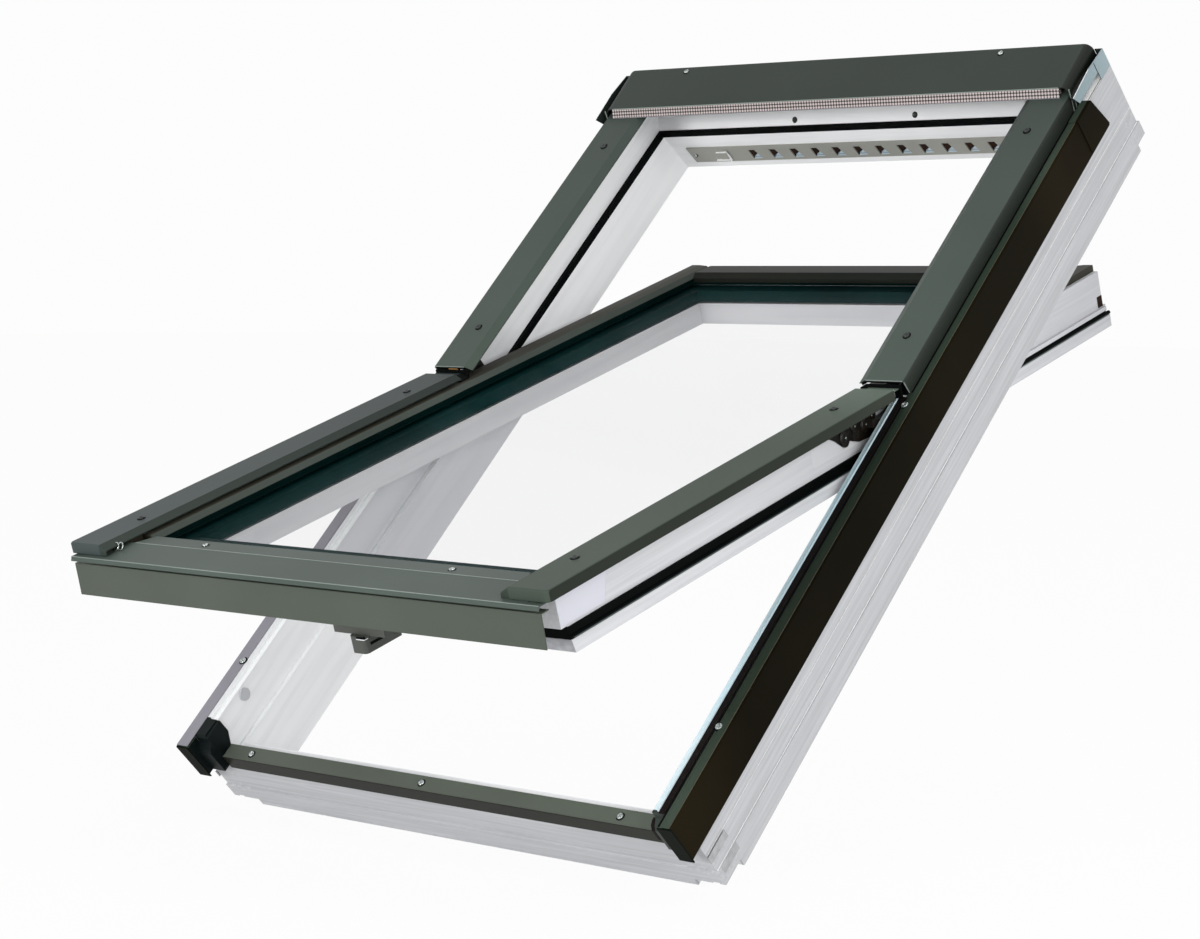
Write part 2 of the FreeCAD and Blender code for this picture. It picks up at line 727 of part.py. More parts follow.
# Steel flashings beside the hood, each with a return round the back corner
for word, hand in hands:
    body = newBody("head_flashing_" + word)
    front = hoodStart - flashingFront
    corner = flashingTop - flashingDip
    plate = [(front + flashingLean, flashingFoot), (front, corner), (front + flashingRise, flashingTop),
             (hoodBack, corner), (hoodBack, woodTop), (hoodBack - flashingTab, woodTop),
             (hoodBack - flashingTab, flashingFoot)]
    outer = halfOuter - stepIn
    sidedRun(body, plate, outer - sheetMetal, outer, hand)
    turned = rectangle(hoodBack - sheetMetal, woodTop, hoodBack, corner)
    sidedRun(body, turned, hoodHalf + fit, outer, hand)
    onFrame(body)

# Where the inclined room face of the head stands at one level
def headLine(level):
    return headFace - headSlope / (sealLevel + roomDrop) * (level + roomDrop)


# Ventilation strip on the head with a row of punched vents
body = newBody("vent_strip")
outline = [(headLine(ventLow), ventLow), (headLine(ventHigh), ventHigh),
           (headLine(ventHigh) - ventThick, ventHigh), (headLine(ventLow) - ventThick, ventLow)]
run(body, "X", outline, ventEnd - halfReveal, halfReveal - ventEnd)
punch = [(-punchFirst, punchLow), (punchFootWidth - punchFirst, punchLow),
         (punchTopWidth - punchFirst, punchHigh), (-punchFirst, punchHigh)]
pocket = cut(body, "Y", punch, headLine(ventHigh) - ventThick, headFace)
pattern = body.newObject("PartDesign::LinearPattern", newName("Row"))
pattern.Originals = [pocket]
pattern.Direction = (pocket.Profile[0], ["H_Axis"])
bind(pattern, "Occurrences", punchCount)
bind(pattern, "Length", punchPitch * (punchCount - number(1)))
body.Tip = pattern
document.recompute()
cuts.append(("vent_strip row", cuts[-1][2], body.Shape.Volume))
onFrame(body)

# Slider that opens the vents
body = newBody("vent_slider")
front = ventThick + sliderThick
outline = [(headLine(punchLow) - ventThick, punchLow), (headLine(punchHigh) - ventThick, punchHigh),
           (headLine(punchHigh) - front, punchHigh), (headLine(punchLow) - front, punchLow)]
far = halfReveal - ventEnd - sliderInset
run(body, "X", outline, -far, sliderWidth - far)
onFrame(body)

# Bush for the cleaning bolt in the left reveal
body = newBody("bolt_bush")
runCircle(body, "X", bushUp, bushOut, bushRadius, -halfHigh, bushDepth - halfHigh)
onFrame(body)

# Frame halves of the hinges: a plate on the reveal with a hanging rib
for word, hand in hands:
    body = newBody("hinge_frame_" + word)
    plate = rectangle(pivotUp - hingePlateHalf, ledge, pivotUp + hingePlateHalf, hingePlateTop)
    sidedRun(body, plate, halfHigh - hingeSkin, halfHigh, hand)
    near = halfReveal - ribRun
    far = halfHigh - hingeSkin
    if hand > 0:
        runHanging(body, pivotUp, pivotOut, ribRadius, ribRadius + ribDepth, ribHalf, near, far)
    else:
        runHanging(body, pivotUp, pivotOut, ribRadius, ribRadius + ribDepth, ribHalf, -far, -near)
    onFrame(body)

# Side members of the leaf
for word, hand in hands:
    body = newBody("leaf_side_" + word)
    outline = [(halfInner, legTop), (halfLeg, legTop), (halfLeg, legBottom), (halfLeaf, legBottom),
               (halfLeaf, legTop), (halfWood, legTop), (halfWood, leafWoodTop), (halfRebate, leafWoodTop),
               (halfRebate, paneLow), (halfInner, paneLow)]
    run(body, "Y", sided(outline, hand), leafLow, leafLegEnd)
    nose = [(leafLow, legBottom), (leafLegLow, legBottom), (legNose, legTop), (leafLegLow, legTop),
            (leafLegLow, railFoot), (leafLow, railFoot)]
    sidedCut(body, nose, halfInner, halfLeaf, hand)
    sidedCut(body, rectangle(leafEnd, railFoot, leafLegEnd, leafWoodTop), halfInner, halfLeaf, hand)
    pocket = rectangle(shoePlateStart, shoePlateLow, shoePlateEnd, shoePlateHigh)
    sidedCut(body, pocket, halfWood - hingeSkin, halfWood, hand)
    lip = rectangle(halfWood, leafLipFoot, halfLeaf, leafSealTop)
    run(body, "Y", sided(lip, hand), pivotUp, leafEnd)
    onLeaf(body)

# Black seal round the leaf: a band with a round tube on each side and a band under the bottom rail
body = newBody("leaf_seal")
run(body, "X", rectangle(legNose, legTop, leafLegLow, leafSealTop), -halfInner, halfInner)
for word, hand in hands:
    tube = leafStep / two
    sidedRun(body, rectangle(legNose, legTop, leafLegLow, leafSealTop), halfInner, halfWood, hand)
    band = rectangle(halfWood, legTop, halfWood + leafSealThick, leafSealTop)
    run(body, "Y", sided(band, hand), legNose, pivotUp)
    band = rectangle(halfWood, legTop, halfWood + leafSealThick, leafLipFoot)
    run(body, "Y", sided(band, hand), pivotUp, leafEnd)
    centre = halfLeaf - tube
    tip = leafLegEnd + leafSealOver
    runCircle(body, "Y", centre if hand > 0 else -centre, legTop + tube, tube, legNose, tip)
onLeaf(body)

# Bottom rail of the leaf
body = newBody("leaf_bottom_rail")
railIn = leafLow + railDepth
shelf = leafLow + bottomShelf
outline = [(leafLow, railFoot), (leafLegLow, railFoot), (leafLegLow, legTop), (railIn, legTop),
           (railIn, paneLow), (leafLow, paneLow)]
run(body, "X", outline, -halfInner, halfInner)
leg = rectangle(leafLegLow, legBottom, leafLegLow + legWidth, legTop)
run(body, "X", leg, -halfLeg, halfLeg)
outerSeat = paneLow + paneThick + paneGap
raised = [(leafLow, paneLow), (shelf, paneLow), (shelf, outerSeat), (leafLow + bottomRaise, outerSeat),
          (leafLow + bottomRaise, outerSeat + paneThick), (leafLow, outerSeat + paneThick)]
run(body, "X", raised, -halfRebate, halfRebate)
onLeaf(body)

# Top rail of the leaf
body = newBody("leaf_top_rail")
railIn = leafEnd - topRailDepth
rebate = railIn + rebateWidth
outline = [(railIn, legTop), (leafLegEnd, legTop), (leafLegEnd, railFoot), (leafEnd, railFoot),
           (leafEnd, paneLow), (railIn, paneLow)]
run(body, "X", outline, -halfInner, halfInner)
leg = rectangle(leafLegEnd - legWidth, legBottom, leafLegEnd, legTop)
run(body, "X", leg, -halfLeg, halfLeg)
raised = rectangle(rebate, paneLow, leafEnd, leafWoodTop)
run(body, "X", raised, -halfRebate, halfRebate)
onLeaf(body)

# Panes and the spacer between them
paneHalf = halfRebate - paneSideFit
paneEnd = rebate - paneSideFit
innerStart = shelf + paneSideFit
outerLow = paneLow + paneThick + paneGap
body = newBody("inner_pane")
run(body, "Z", rectangle(-paneHalf, innerStart, paneHalf, paneEnd), paneLow, paneLow + paneThick)
onLeaf(body)
body = newBody("outer_pane")
run(body, "Z", rectangle(-paneHalf, outerPaneStart, paneHalf, paneEnd), outerLow, outerLow + paneThick)
onLeaf(body)
body = newBody("pane_spacer")
ringHalf = paneHalf - spacerInset
run(body, "Z", rectangle(-ringHalf, innerStart + spacerInset, ringHalf, paneEnd - spacerInset),
    paneLow + paneThick, outerLow)
holeHalf = ringHalf - spacerWidth
hole = rectangle(-holeHalf, innerStart + spacerInset + spacerWidth, holeHalf,
                 paneEnd - spacerInset - spacerWidth)
cut(body, "Z", hole, paneLow + paneThick, outerLow)
onLeaf(body)

# Glazing beads: slim beside the lower covers, wide above them
for word, hand in hands:
    body = newBody("glazing_bead_" + word)
    beadIn = halfRebate - beadOver
    slimOut = beadIn + beadWidth
    wideOut = halfWood - beadCapInset
    outline = [(beadIn, leafWoodTop), (slimOut, leafWoodTop), (slimOut, beadTop),
               (beadIn + beadOver, beadTop - sheetMetal), (beadIn, beadFoot + beadOver)]
    run(body, "Y", sided(outline, hand), beadLine, leafEnd)
    foot = rectangle(beadIn, beadFoot + fit, halfRebate, leafWoodTop)
    run(body, "Y", sided(foot, hand), beadLine, rebate)
    wide = rectangle(slimOut, leafWoodTop, wideOut, beadTop)
    run(body, "Y", sided(wide, hand), leafCoverEnd, leafEnd)
    onLeaf(body)
body = newBody("glazing_bead_top")
beadIn = rebate - beadOver
outline = [(beadIn, beadFoot + fit), (rebate, beadFoot + fit), (rebate, leafWoodTop), (leafEnd, leafWoodTop),
           (leafEnd, beadTop - sheetMetal), (rebate, beadTop), (beadIn, beadFoot + beadOver)]
inside = halfRebate - beadOver
run(body, "X", outline, -inside, inside)
onLeaf(body)

# Battens that carry the lower covers
for word, hand in hands:
    body = newBody("leaf_batten_" + word)
    inner = leafCoverIn - coverWidth + fit
    outline = rectangle(inner, leafWoodTop, halfWood, leafCoverTop - sheetMetal)
    run(body, "Y", sided(outline, hand), leafBattenStart, leafBattenEnd)
    onLeaf(body)

# Lower side covers, fixed to the leaf: a folded sheet with a closed round end and a tongue
for word, hand in hands:
    body = newBody("lower_cover_" + word)
    outer = leafCoverIn
    flat = outer - coverWidth
    lip = flat - coverBevel
    outline = [(outer, leafCoverFoot), (outer, leafCoverTop), (flat, leafCoverTop),
               (lip, leafCoverTop - coverBevelDrop), (lip, leafCoverFoot)]
    run(body, "Y", sided(outline, hand), -leafCoverStart, leafCoverEnd)
    outside = outer if hand > 0 else -outer
    inside = lip if hand > 0 else -lip
    middle = midway(outside, inside)
    bevel = midway(flat, lip) if hand > 0 else -midway(flat, lip)
    along = midway(none, leafCoverEnd)
    low = midway(leafCoverFoot, leafCoverTop - coverBevelDrop)
    roundEdges(body, leafCoverCorner, [(outside, -leafCoverStart, low)])
    slope = leafCoverTop - coverBevelDrop / two
    roundEdges(body, coverRound, [(outside, along, leafCoverTop), (middle, -leafCoverStart, leafCoverTop),
                                  (bevel, -leafCoverStart, slope)])
    hollow(body, sheetMetal, [(middle, along, leafCoverFoot), (inside, along, low),
                              (middle, leafCoverEnd, low)])
    riser = leafCoverEnd - sheetMetal
    level = leafCoverTop - tongueDrop
    tip = leafCoverEnd + tongueLength
    tongue = [(riser, leafCoverTop), (riser, level - sheetMetal), (tip, level - sheetMetal), (tip, level),
              (leafCoverEnd, level), (leafCoverEnd, leafCoverTop)]
    sidedRun(body, tongue, flat + tongueInset, outer - tongueInset, hand)
    onLeaf(body)

# Bottom cover: a lip, a ridge and a flap down to the glass
body = newBody("bottom_cover")
flapEnd = beadLine + flapPast
glassTop = outerLow + paneThick
outline = [(-lipReach - lipLean, bottomLipFoot), (-lipReach, bottomLipTop), (ridgeLine, ridgeTop),
           (ridgeLine, ridgeTop - sheetMetal), (sheetMetal - lipReach, bottomLipTop - sheetMetal),
           (sheetMetal - lipReach - lipLean, bottomLipFoot)]
run(body, "X", outline, -halfReveal, halfReveal)
nose = [(-lipReach - lipLean, bottomLipFoot), (-lipReach, bottomLipTop), (-wingReach, bottomLipTop),
        (-wingReach, bottomLipTop - sheetMetal), (sheetMetal - lipReach, bottomLipTop - sheetMetal),
        (sheetMetal - lipReach - lipLean, bottomLipFoot)]
noseHalf = halfOuter - lipSide
run(body, "X", nose, -noseHalf, noseHalf)
turn = ridgeLine + flapLength
level = ridgeTop - flapFall
flap = [(ridgeLine, ridgeTop), (turn, level), (flapEnd, glassTop + fit),
        (flapEnd - sheetMetal, glassTop + fit), (turn - sheetMetal, level - sheetMetal),
        (ridgeLine, ridgeTop - sheetMetal)]
flapHalf = halfOuter - ridgeSide
run(body, "X", flap, -flapHalf, flapHalf)
corner = [(flapHalf - flapTaper, flapEnd), (flapHalf, ridgeLine), (flapHalf, flapEnd)]
for word, hand in hands:
    cut(body, "Z", sided(corner, hand), glassTop, ridgeTop)
onLeaf(body)

# Apron in front of the sill
body = newBody("bottom_apron")
apronTop = outerSeat + paneThick
outline = [(-apronReach - apronLean, apronFoot), (-apronReach, apronTop + sheetMetal),
           (leafLow, apronTop + sheetMetal), (leafLow, apronTop), (sheetMetal - apronReach, apronTop),
           (sheetMetal - apronReach - apronLean, apronFoot)]
run(body, "X", outline, -halfLeaf, halfLeaf)
arm = rectangle(none, apronTop, leafLow + bottomRaise, apronTop + sheetMetal)
run(body, "X", arm, -halfRebate, halfRebate)
wing = [(-apronReach - apronLean, apronFoot), (-apronReach, apronTop + sheetMetal),
        (-wingReach, apronTop + sheetMetal), (-wingReach, apronTop), (sheetMetal - apronReach, apronTop),
        (sheetMetal - apronReach - apronLean, apronFoot)]
wingHalf = halfOuter - apronSide
run(body, "X", wing, -wingHalf, wingHalf)
onLeaf(body)

# Handle under the bottom rail
body = newBody("handle")
baseFront = leafLegLow + legWidth
run(body, "X", rectangle(baseFront, handleKnee, leafLow + railDepth, legTop), -handleBase, handleBase)
front = baseFront - handleReach
lever = rectangle(front, handleFoot, front + handleDepth, handleKnee + fit)
run(body, "X", lever, -handleHalf, handleHalf)
level = midway(handleFoot, handleKnee)
roundEdges(body, handleRound, [(handleHalf, front, level), (-handleHalf, front, level)])
onLeaf(body)

# Leaf halves of the hinges: a plate let into the timber, two bosses and a hanging shoe
for word, hand in hands:
    body = newBody("hinge_leaf_" + word)
    plate = rectangle(shoePlateStart, shoePlateLow, shoePlateEnd, shoePlateHigh)
    sidedRun(body, plate, halfWood - hingeSkin, halfWood, hand)
    near = halfWood
    far = halfHigh - hingeSkin - fit
    outer = ribRadius - fit
    if hand > 0:
        runHanging(body, pivotUp, pivotOut, outer - shoeDepth, outer, shoeHalf, near, far)
    else:
        runHanging(body, pivotUp, pivotOut, outer - shoeDepth, outer, shoeHalf, -far, -near)
    for below in (bossFirst, bossSecond):
        place = pivotUp - below
        if hand > 0:
            runCircle(body, "X", place, bossLine, bossRadius, halfWood, halfWood + bossHeight)
        else:
            runCircle(body, "X", place, bossLine, bossRadius, -halfWood - bossHeight, -halfWood)
    onLeaf(body)

document.recompute()

# Every object and every shape is checked before anything is written
faults = []
for item in document.Objects:
    if "Invalid" in item.State or "Error" in item.State:
        faults.append(item.Name + " " + str(item.State))
for label, before, after in cuts:
    if not after < before - 0.001:
        faults.append(label + " has a cut that takes nothing away")
for body in nodes:
    if body.Shape.isNull() or not body.Shape.isValid() or body.Shape.Volume <= 0:
        faults.append(body.Label + " has no sound shape")
if faults:
    raise RuntimeError("; ".join(faults))

os.makedirs("parts", exist_ok=True)
for body in nodes:
    body.Shape.exportStep("parts/" + body.Label + ".step")
    box = body.Shape.BoundBox
    print(body.Label, len(body.Shape.Solids), round(body.Shape.Volume / 1000.0, 1),
          [round(v, 1) for v in (box.XMin, box.XMax, box.YMin, box.YMax, box.ZMin, box.ZMax)])
print(len(nodes), "nodes")
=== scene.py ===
import math

import bmesh
import bpy
from mathutils import Matrix, Vector


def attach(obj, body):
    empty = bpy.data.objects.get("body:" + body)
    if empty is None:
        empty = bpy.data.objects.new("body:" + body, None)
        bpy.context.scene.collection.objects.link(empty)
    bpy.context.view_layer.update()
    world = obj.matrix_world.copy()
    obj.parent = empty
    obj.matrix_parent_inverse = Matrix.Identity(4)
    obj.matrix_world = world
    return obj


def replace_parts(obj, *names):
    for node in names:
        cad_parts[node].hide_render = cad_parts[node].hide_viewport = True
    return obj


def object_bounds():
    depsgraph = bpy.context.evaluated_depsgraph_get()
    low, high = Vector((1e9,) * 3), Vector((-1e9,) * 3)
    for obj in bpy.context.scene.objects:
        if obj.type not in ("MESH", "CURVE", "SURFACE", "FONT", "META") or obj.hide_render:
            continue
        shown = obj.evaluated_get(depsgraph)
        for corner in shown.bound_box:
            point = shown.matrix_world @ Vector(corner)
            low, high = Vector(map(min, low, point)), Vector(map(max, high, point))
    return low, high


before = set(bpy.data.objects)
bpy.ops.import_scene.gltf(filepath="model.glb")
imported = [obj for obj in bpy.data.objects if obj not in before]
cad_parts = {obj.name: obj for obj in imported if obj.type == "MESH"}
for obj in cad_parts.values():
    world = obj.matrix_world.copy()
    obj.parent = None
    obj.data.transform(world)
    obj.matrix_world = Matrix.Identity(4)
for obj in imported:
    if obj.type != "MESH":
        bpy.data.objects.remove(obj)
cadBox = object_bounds()
print("loaded", len(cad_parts), "nodes")

# Window coordinates are millimetres: across, up the slope, out of the roof
window = {
    "pitch": 45.0,
    "leafOpen": 27.3,
    "pivot": (0.0, 614.0, 170.0),
}

toMetres = Matrix.Scale(0.001, 4)
onFrame = toMetres @ Matrix.Rotation(math.radians(window["pitch"]), 4, "X")
pivot = Matrix.Translation(Vector(window["pivot"]))
onLeaf = onFrame @ pivot @ Matrix.Rotation(math.radians(-window["leafOpen"]), 4, "X") @ pivot.inverted()
places = {"frame": onFrame, "leaf": onLeaf}
frameTilt = math.radians(window["pitch"])
leafTilt = math.radians(window["pitch"] - window["leafOpen"])


def colour(text):
    channels = [int(text[i:i + 2], 16) / 255 for i in (1, 3, 5)]
    return tuple(c / 12.92 if c <= 0.04045 else ((c + 0.055) / 1.055) ** 2.4 for c in channels) + (1.0,)


# Finishes: each starts as one Principled shader and gets its own detail

def startFinish(name, settings):
    material = bpy.data.materials.new(name)
    material.use_nodes = True
    shader = material.node_tree.nodes["Principled BSDF"]
    shader.inputs["Base Color"].default_value = colour(settings["colour"])
    shader.inputs["Roughness"].default_value = settings["roughness"]
    shader.inputs["Metallic"].default_value = settings.get("metallic", 0.0)
    shader.inputs["Specular IOR Level"].default_value = settings.get("specular", 0.5)
    return material


# Object coordinates turned so that Y runs along the piece, then stretched
def pieceSpace(material, tilt, stretch):
    nodes, links = material.node_tree.nodes, material.node_tree.links
    where = nodes.new("ShaderNodeTexCoord")
    turned = nodes.new("ShaderNodeMapping")
    turned.inputs["Rotation"].default_value = (-tilt, 0, 0)
    scaled = nodes.new("ShaderNodeMapping")
    scaled.inputs["Scale"].default_value = stretch
    links.new(where.outputs["Object"], turned.inputs["Vector"])
    links.new(turned.outputs["Vector"], scaled.inputs["Vector"])
    return scaled.outputs["Vector"]


def noiseOn(material, space, scale, detail, distortion=0.0):
    noise = material.node_tree.nodes.new("ShaderNodeTexNoise")
    noise.inputs["Scale"].default_value = scale
    noise.inputs["Detail"].default_value = detail
    noise.inputs["Distortion"].default_value = distortion
    material.node_tree.links.new(space, noise.inputs["Vector"])
    return noise.outputs["Fac"]


def rampOn(material, value, stops):
    ramp = material.node_tree.nodes.new("ShaderNodeValToRGB")
    ramp.color_ramp.elements[0].position = stops[0][0]
    ramp.color_ramp.elements[0].color = colour(stops[0][1])
    ramp.color_ramp.elements[1].position = stops[-1][0]
    ramp.color_ramp.elements[1].color = colour(stops[-1][1])
    for position, text in stops[1:-1]:
        ramp.color_ramp.elements.new(position).color = colour(text)
    material.node_tree.links.new(value, ramp.inputs["Fac"])
    return ramp.outputs["Color"]


def spanOn(material, value, low, high):
    span = material.node_tree.nodes.new("ShaderNodeMapRange")
    span.inputs["To Min"].default_value = low
    span.inputs["To Max"].default_value = high
    material.node_tree.links.new(value, span.inputs["Value"])
    return span.outputs["Result"]


# A fine surface relief, over edges softened where a size for them is given
def relief(material, height, strength, distance, edge=0.0):
    nodes, links = material.node_tree.nodes, material.node_tree.links
    bump = nodes.new("ShaderNodeBump")
    bump.inputs["Strength"].default_value = strength
    bump.inputs["Distance"].default_value = distance
    links.new(height, bump.inputs["Height"])
    if edge > 0.0:
        soft = nodes.new("ShaderNodeBevel")
        soft.samples = 4
        soft.inputs["Radius"].default_value = edge
        links.new(soft.outputs["Normal"], bump.inputs["Normal"])
    links.new(bump.outputs["Normal"], nodes["Principled BSDF"].inputs["Normal"])


def feed(material, value, name):
    shader = material.node_tree.nodes["Principled BSDF"]
    material.node_tree.links.new(value, shader.inputs[name])


timberFinish = {
    "colour": "#f2f3f5", "roughness": 0.5, "specular": 0.2, "strength": 0.25, "depth": 0.0004,
    "streaks": (6.0, 0.6), "fine": (4.0, 0.4), "sheen": (0.45, 0.62),
    "grain": ((0.28, "#eaebed"), (0.50, "#f3f4f5"), (0.75, "#f9f9fa")),
    "along": 3.0, "across": 60.0, "outerAcross": 260.0,
    # Outer face tones, for the frame and the leaf: partly greyer primed wood, partly painted shade
    "frameOuter": ((0.25, "#b0b2b4"), (0.50, "#bcbdc0"), (0.75, "#c8c9cc")),
    "frameLimits": (0.3868, 0.0026, 1.1775),
    "leafOuter": ((0.25, "#c8cacd"), (0.50, "#d2d3d6"), (0.75, "#dadbde")),
    "leafLimits": (0.3355, 0.0375, 1.1240),
    # Painted shade along the slope: reveals under the leaf, the leaf's inner timber and its outer faces near
    # the top
    "frameShade": ((0.225, "#ffffff"), (0.265, "#dddde0"), (0.54, "#dddde0"), (0.62, "#ffffff")),
    "leafShade": ((0.03, "#dadadc"), (0.95, "#dfdfe1")),
    "leafOuterShade": ((0.55, "#ffffff"), (0.88, "#dcdcde")),
    "frameOuterShade": ((0.0, "#ffffff"), (1.0, "#fafafa")),
}
reach = 1.2


# How far up the slope, as a share of the reach
def alongOn(material, tilt):
    split = material.node_tree.nodes.new("ShaderNodeSeparateXYZ")
    space = pieceSpace(material, tilt, (1, 1 / reach, 1))
    material.node_tree.links.new(space, split.inputs["Vector"])
    return split.outputs["Y"]


def multiplyOn(material, first, second):
    mix = material.node_tree.nodes.new("ShaderNodeMix")
    mix.data_type = "RGBA"
    mix.blend_type = "MULTIPLY"
    mix.inputs[0].default_value = 1.0
    material.node_tree.links.new(first, mix.inputs[6])
    material.node_tree.links.new(second, mix.inputs[7])
    return mix.outputs[2]


# One step of arithmetic on numbers or on what other nodes give
def mathOn(tree, operation, *values):
    node = tree.nodes.new("ShaderNodeMath")
    node.operation = operation
    for socket, value in zip(node.inputs, values):
        if isinstance(value, float):
            socket.default_value = value
        else:
            tree.links.new(value, socket)
    return node.outputs["Value"]


# 1 past a distance from the middle, below a low line or above a high one, else 0
def outside(material, tilt, across, low, high):
    tree = material.node_tree
    split = tree.nodes.new("ShaderNodeSeparateXYZ")
    tree.links.new(pieceSpace(material, tilt, (1, 1, 1)), split.inputs["Vector"])
    past = mathOn(tree, "GREATER_THAN", mathOn(tree, "ABSOLUTE", split.outputs["X"]), across)
    below = mathOn(tree, "LESS_THAN", split.outputs["Y"], low)
    above = mathOn(tree, "GREATER_THAN", split.outputs["Y"], high)
    return mathOn(tree, "MAXIMUM", mathOn(tree, "MAXIMUM", past, below), above)


def mixOn(material, share, first, second):
    mix = material.node_tree.nodes.new("ShaderNodeMix")
    mix.data_type = "RGBA"
    material.node_tree.links.new(share, mix.inputs[0])
    material.node_tree.links.new(first, mix.inputs[6])
    material.node_tree.links.new(second, mix.inputs[7])
    return mix.outputs[2]


# White glazed pine: pale streaks along the board, coarser grain on the hidden outer faces, and painted shade
def timber(name, tilt, lengthwise, group):
    material = startFinish(name, timberFinish)
    along, across, coarse = (timberFinish[key] for key in ("along", "across", "outerAcross"))
    stretch = (across, along, across) if lengthwise else (along, across, across)
    streaks = noiseOn(material, pieceSpace(material, tilt, stretch), 1.0, *timberFinish["streaks"])
    stretch = (coarse, 2 * along, coarse) if lengthwise else (2 * along, coarse, coarse)
    fine = noiseOn(material, pieceSpace(material, tilt, stretch), 1.0, *timberFinish["fine"])
    inner = rampOn(material, streaks, timberFinish["grain"])
    shade = rampOn(material, alongOn(material, tilt), timberFinish[group + "Shade"])
    inner = multiplyOn(material, inner, shade)
    rough = rampOn(material, fine, timberFinish[group + "Outer"])
    shade = rampOn(material, alongOn(material, tilt), timberFinish[group + "OuterShade"])
    rough = multiplyOn(material, rough, shade)
    share = outside(material, tilt, *timberFinish[group + "Limits"])
    feed(material, mixOn(material, share, inner, rough), "Base Color")
    feed(material, spanOn(material, fine, *timberFinish["sheen"]), "Roughness")
    relief(material, fine, timberFinish["strength"], timberFinish["depth"])
    return material


# Coated or bare sheet: a slow drift between two tones, a fine orange peel and soft folds.
# Some finishes have other tones in outer zones, past a distance across, a low line or a high one
# (9 m is never reached), or change along the slope. What a finish leaves out comes from here.
sheetDefaults = {
    "drift": 5.0, "detail": 2.0, "share": (0.3, 0.7), "peel": 900.0, "spread": 0.06,
    "strength": 0.08, "depth": 0.0002, "edge": 0.0009,
}


def tonesOn(material, drift, share, tones):
    return rampOn(material, drift, tuple(zip(share, tones)))


def sheetFinish(name, given, tilt):
    settings = {**sheetDefaults, **given}
    material = startFinish(name, settings)
    space = pieceSpace(material, tilt, (1, 1, 1))
    drift = noiseOn(material, space, settings["drift"], settings["detail"])
    tone = tonesOn(material, drift, settings["share"], settings["tones"])
    for limits, tones in settings.get("zones", ()):
        zone = outside(material, tilt, *limits)
        tone = mixOn(material, zone, tone, tonesOn(material, drift, settings["share"], tones))
    if "along" in settings:
        tone = multiplyOn(material, tone, rampOn(material, alongOn(material, tilt), settings["along"]))
    feed(material, tone, "Base Color")
    peel = noiseOn(material, space, settings["peel"], settings["detail"])
    rough, spread = settings["roughness"], settings["spread"]
    feed(material, spanOn(material, peel, rough - spread, rough + spread), "Roughness")
    relief(material, peel, settings["strength"], settings["depth"], settings["edge"])
    return material


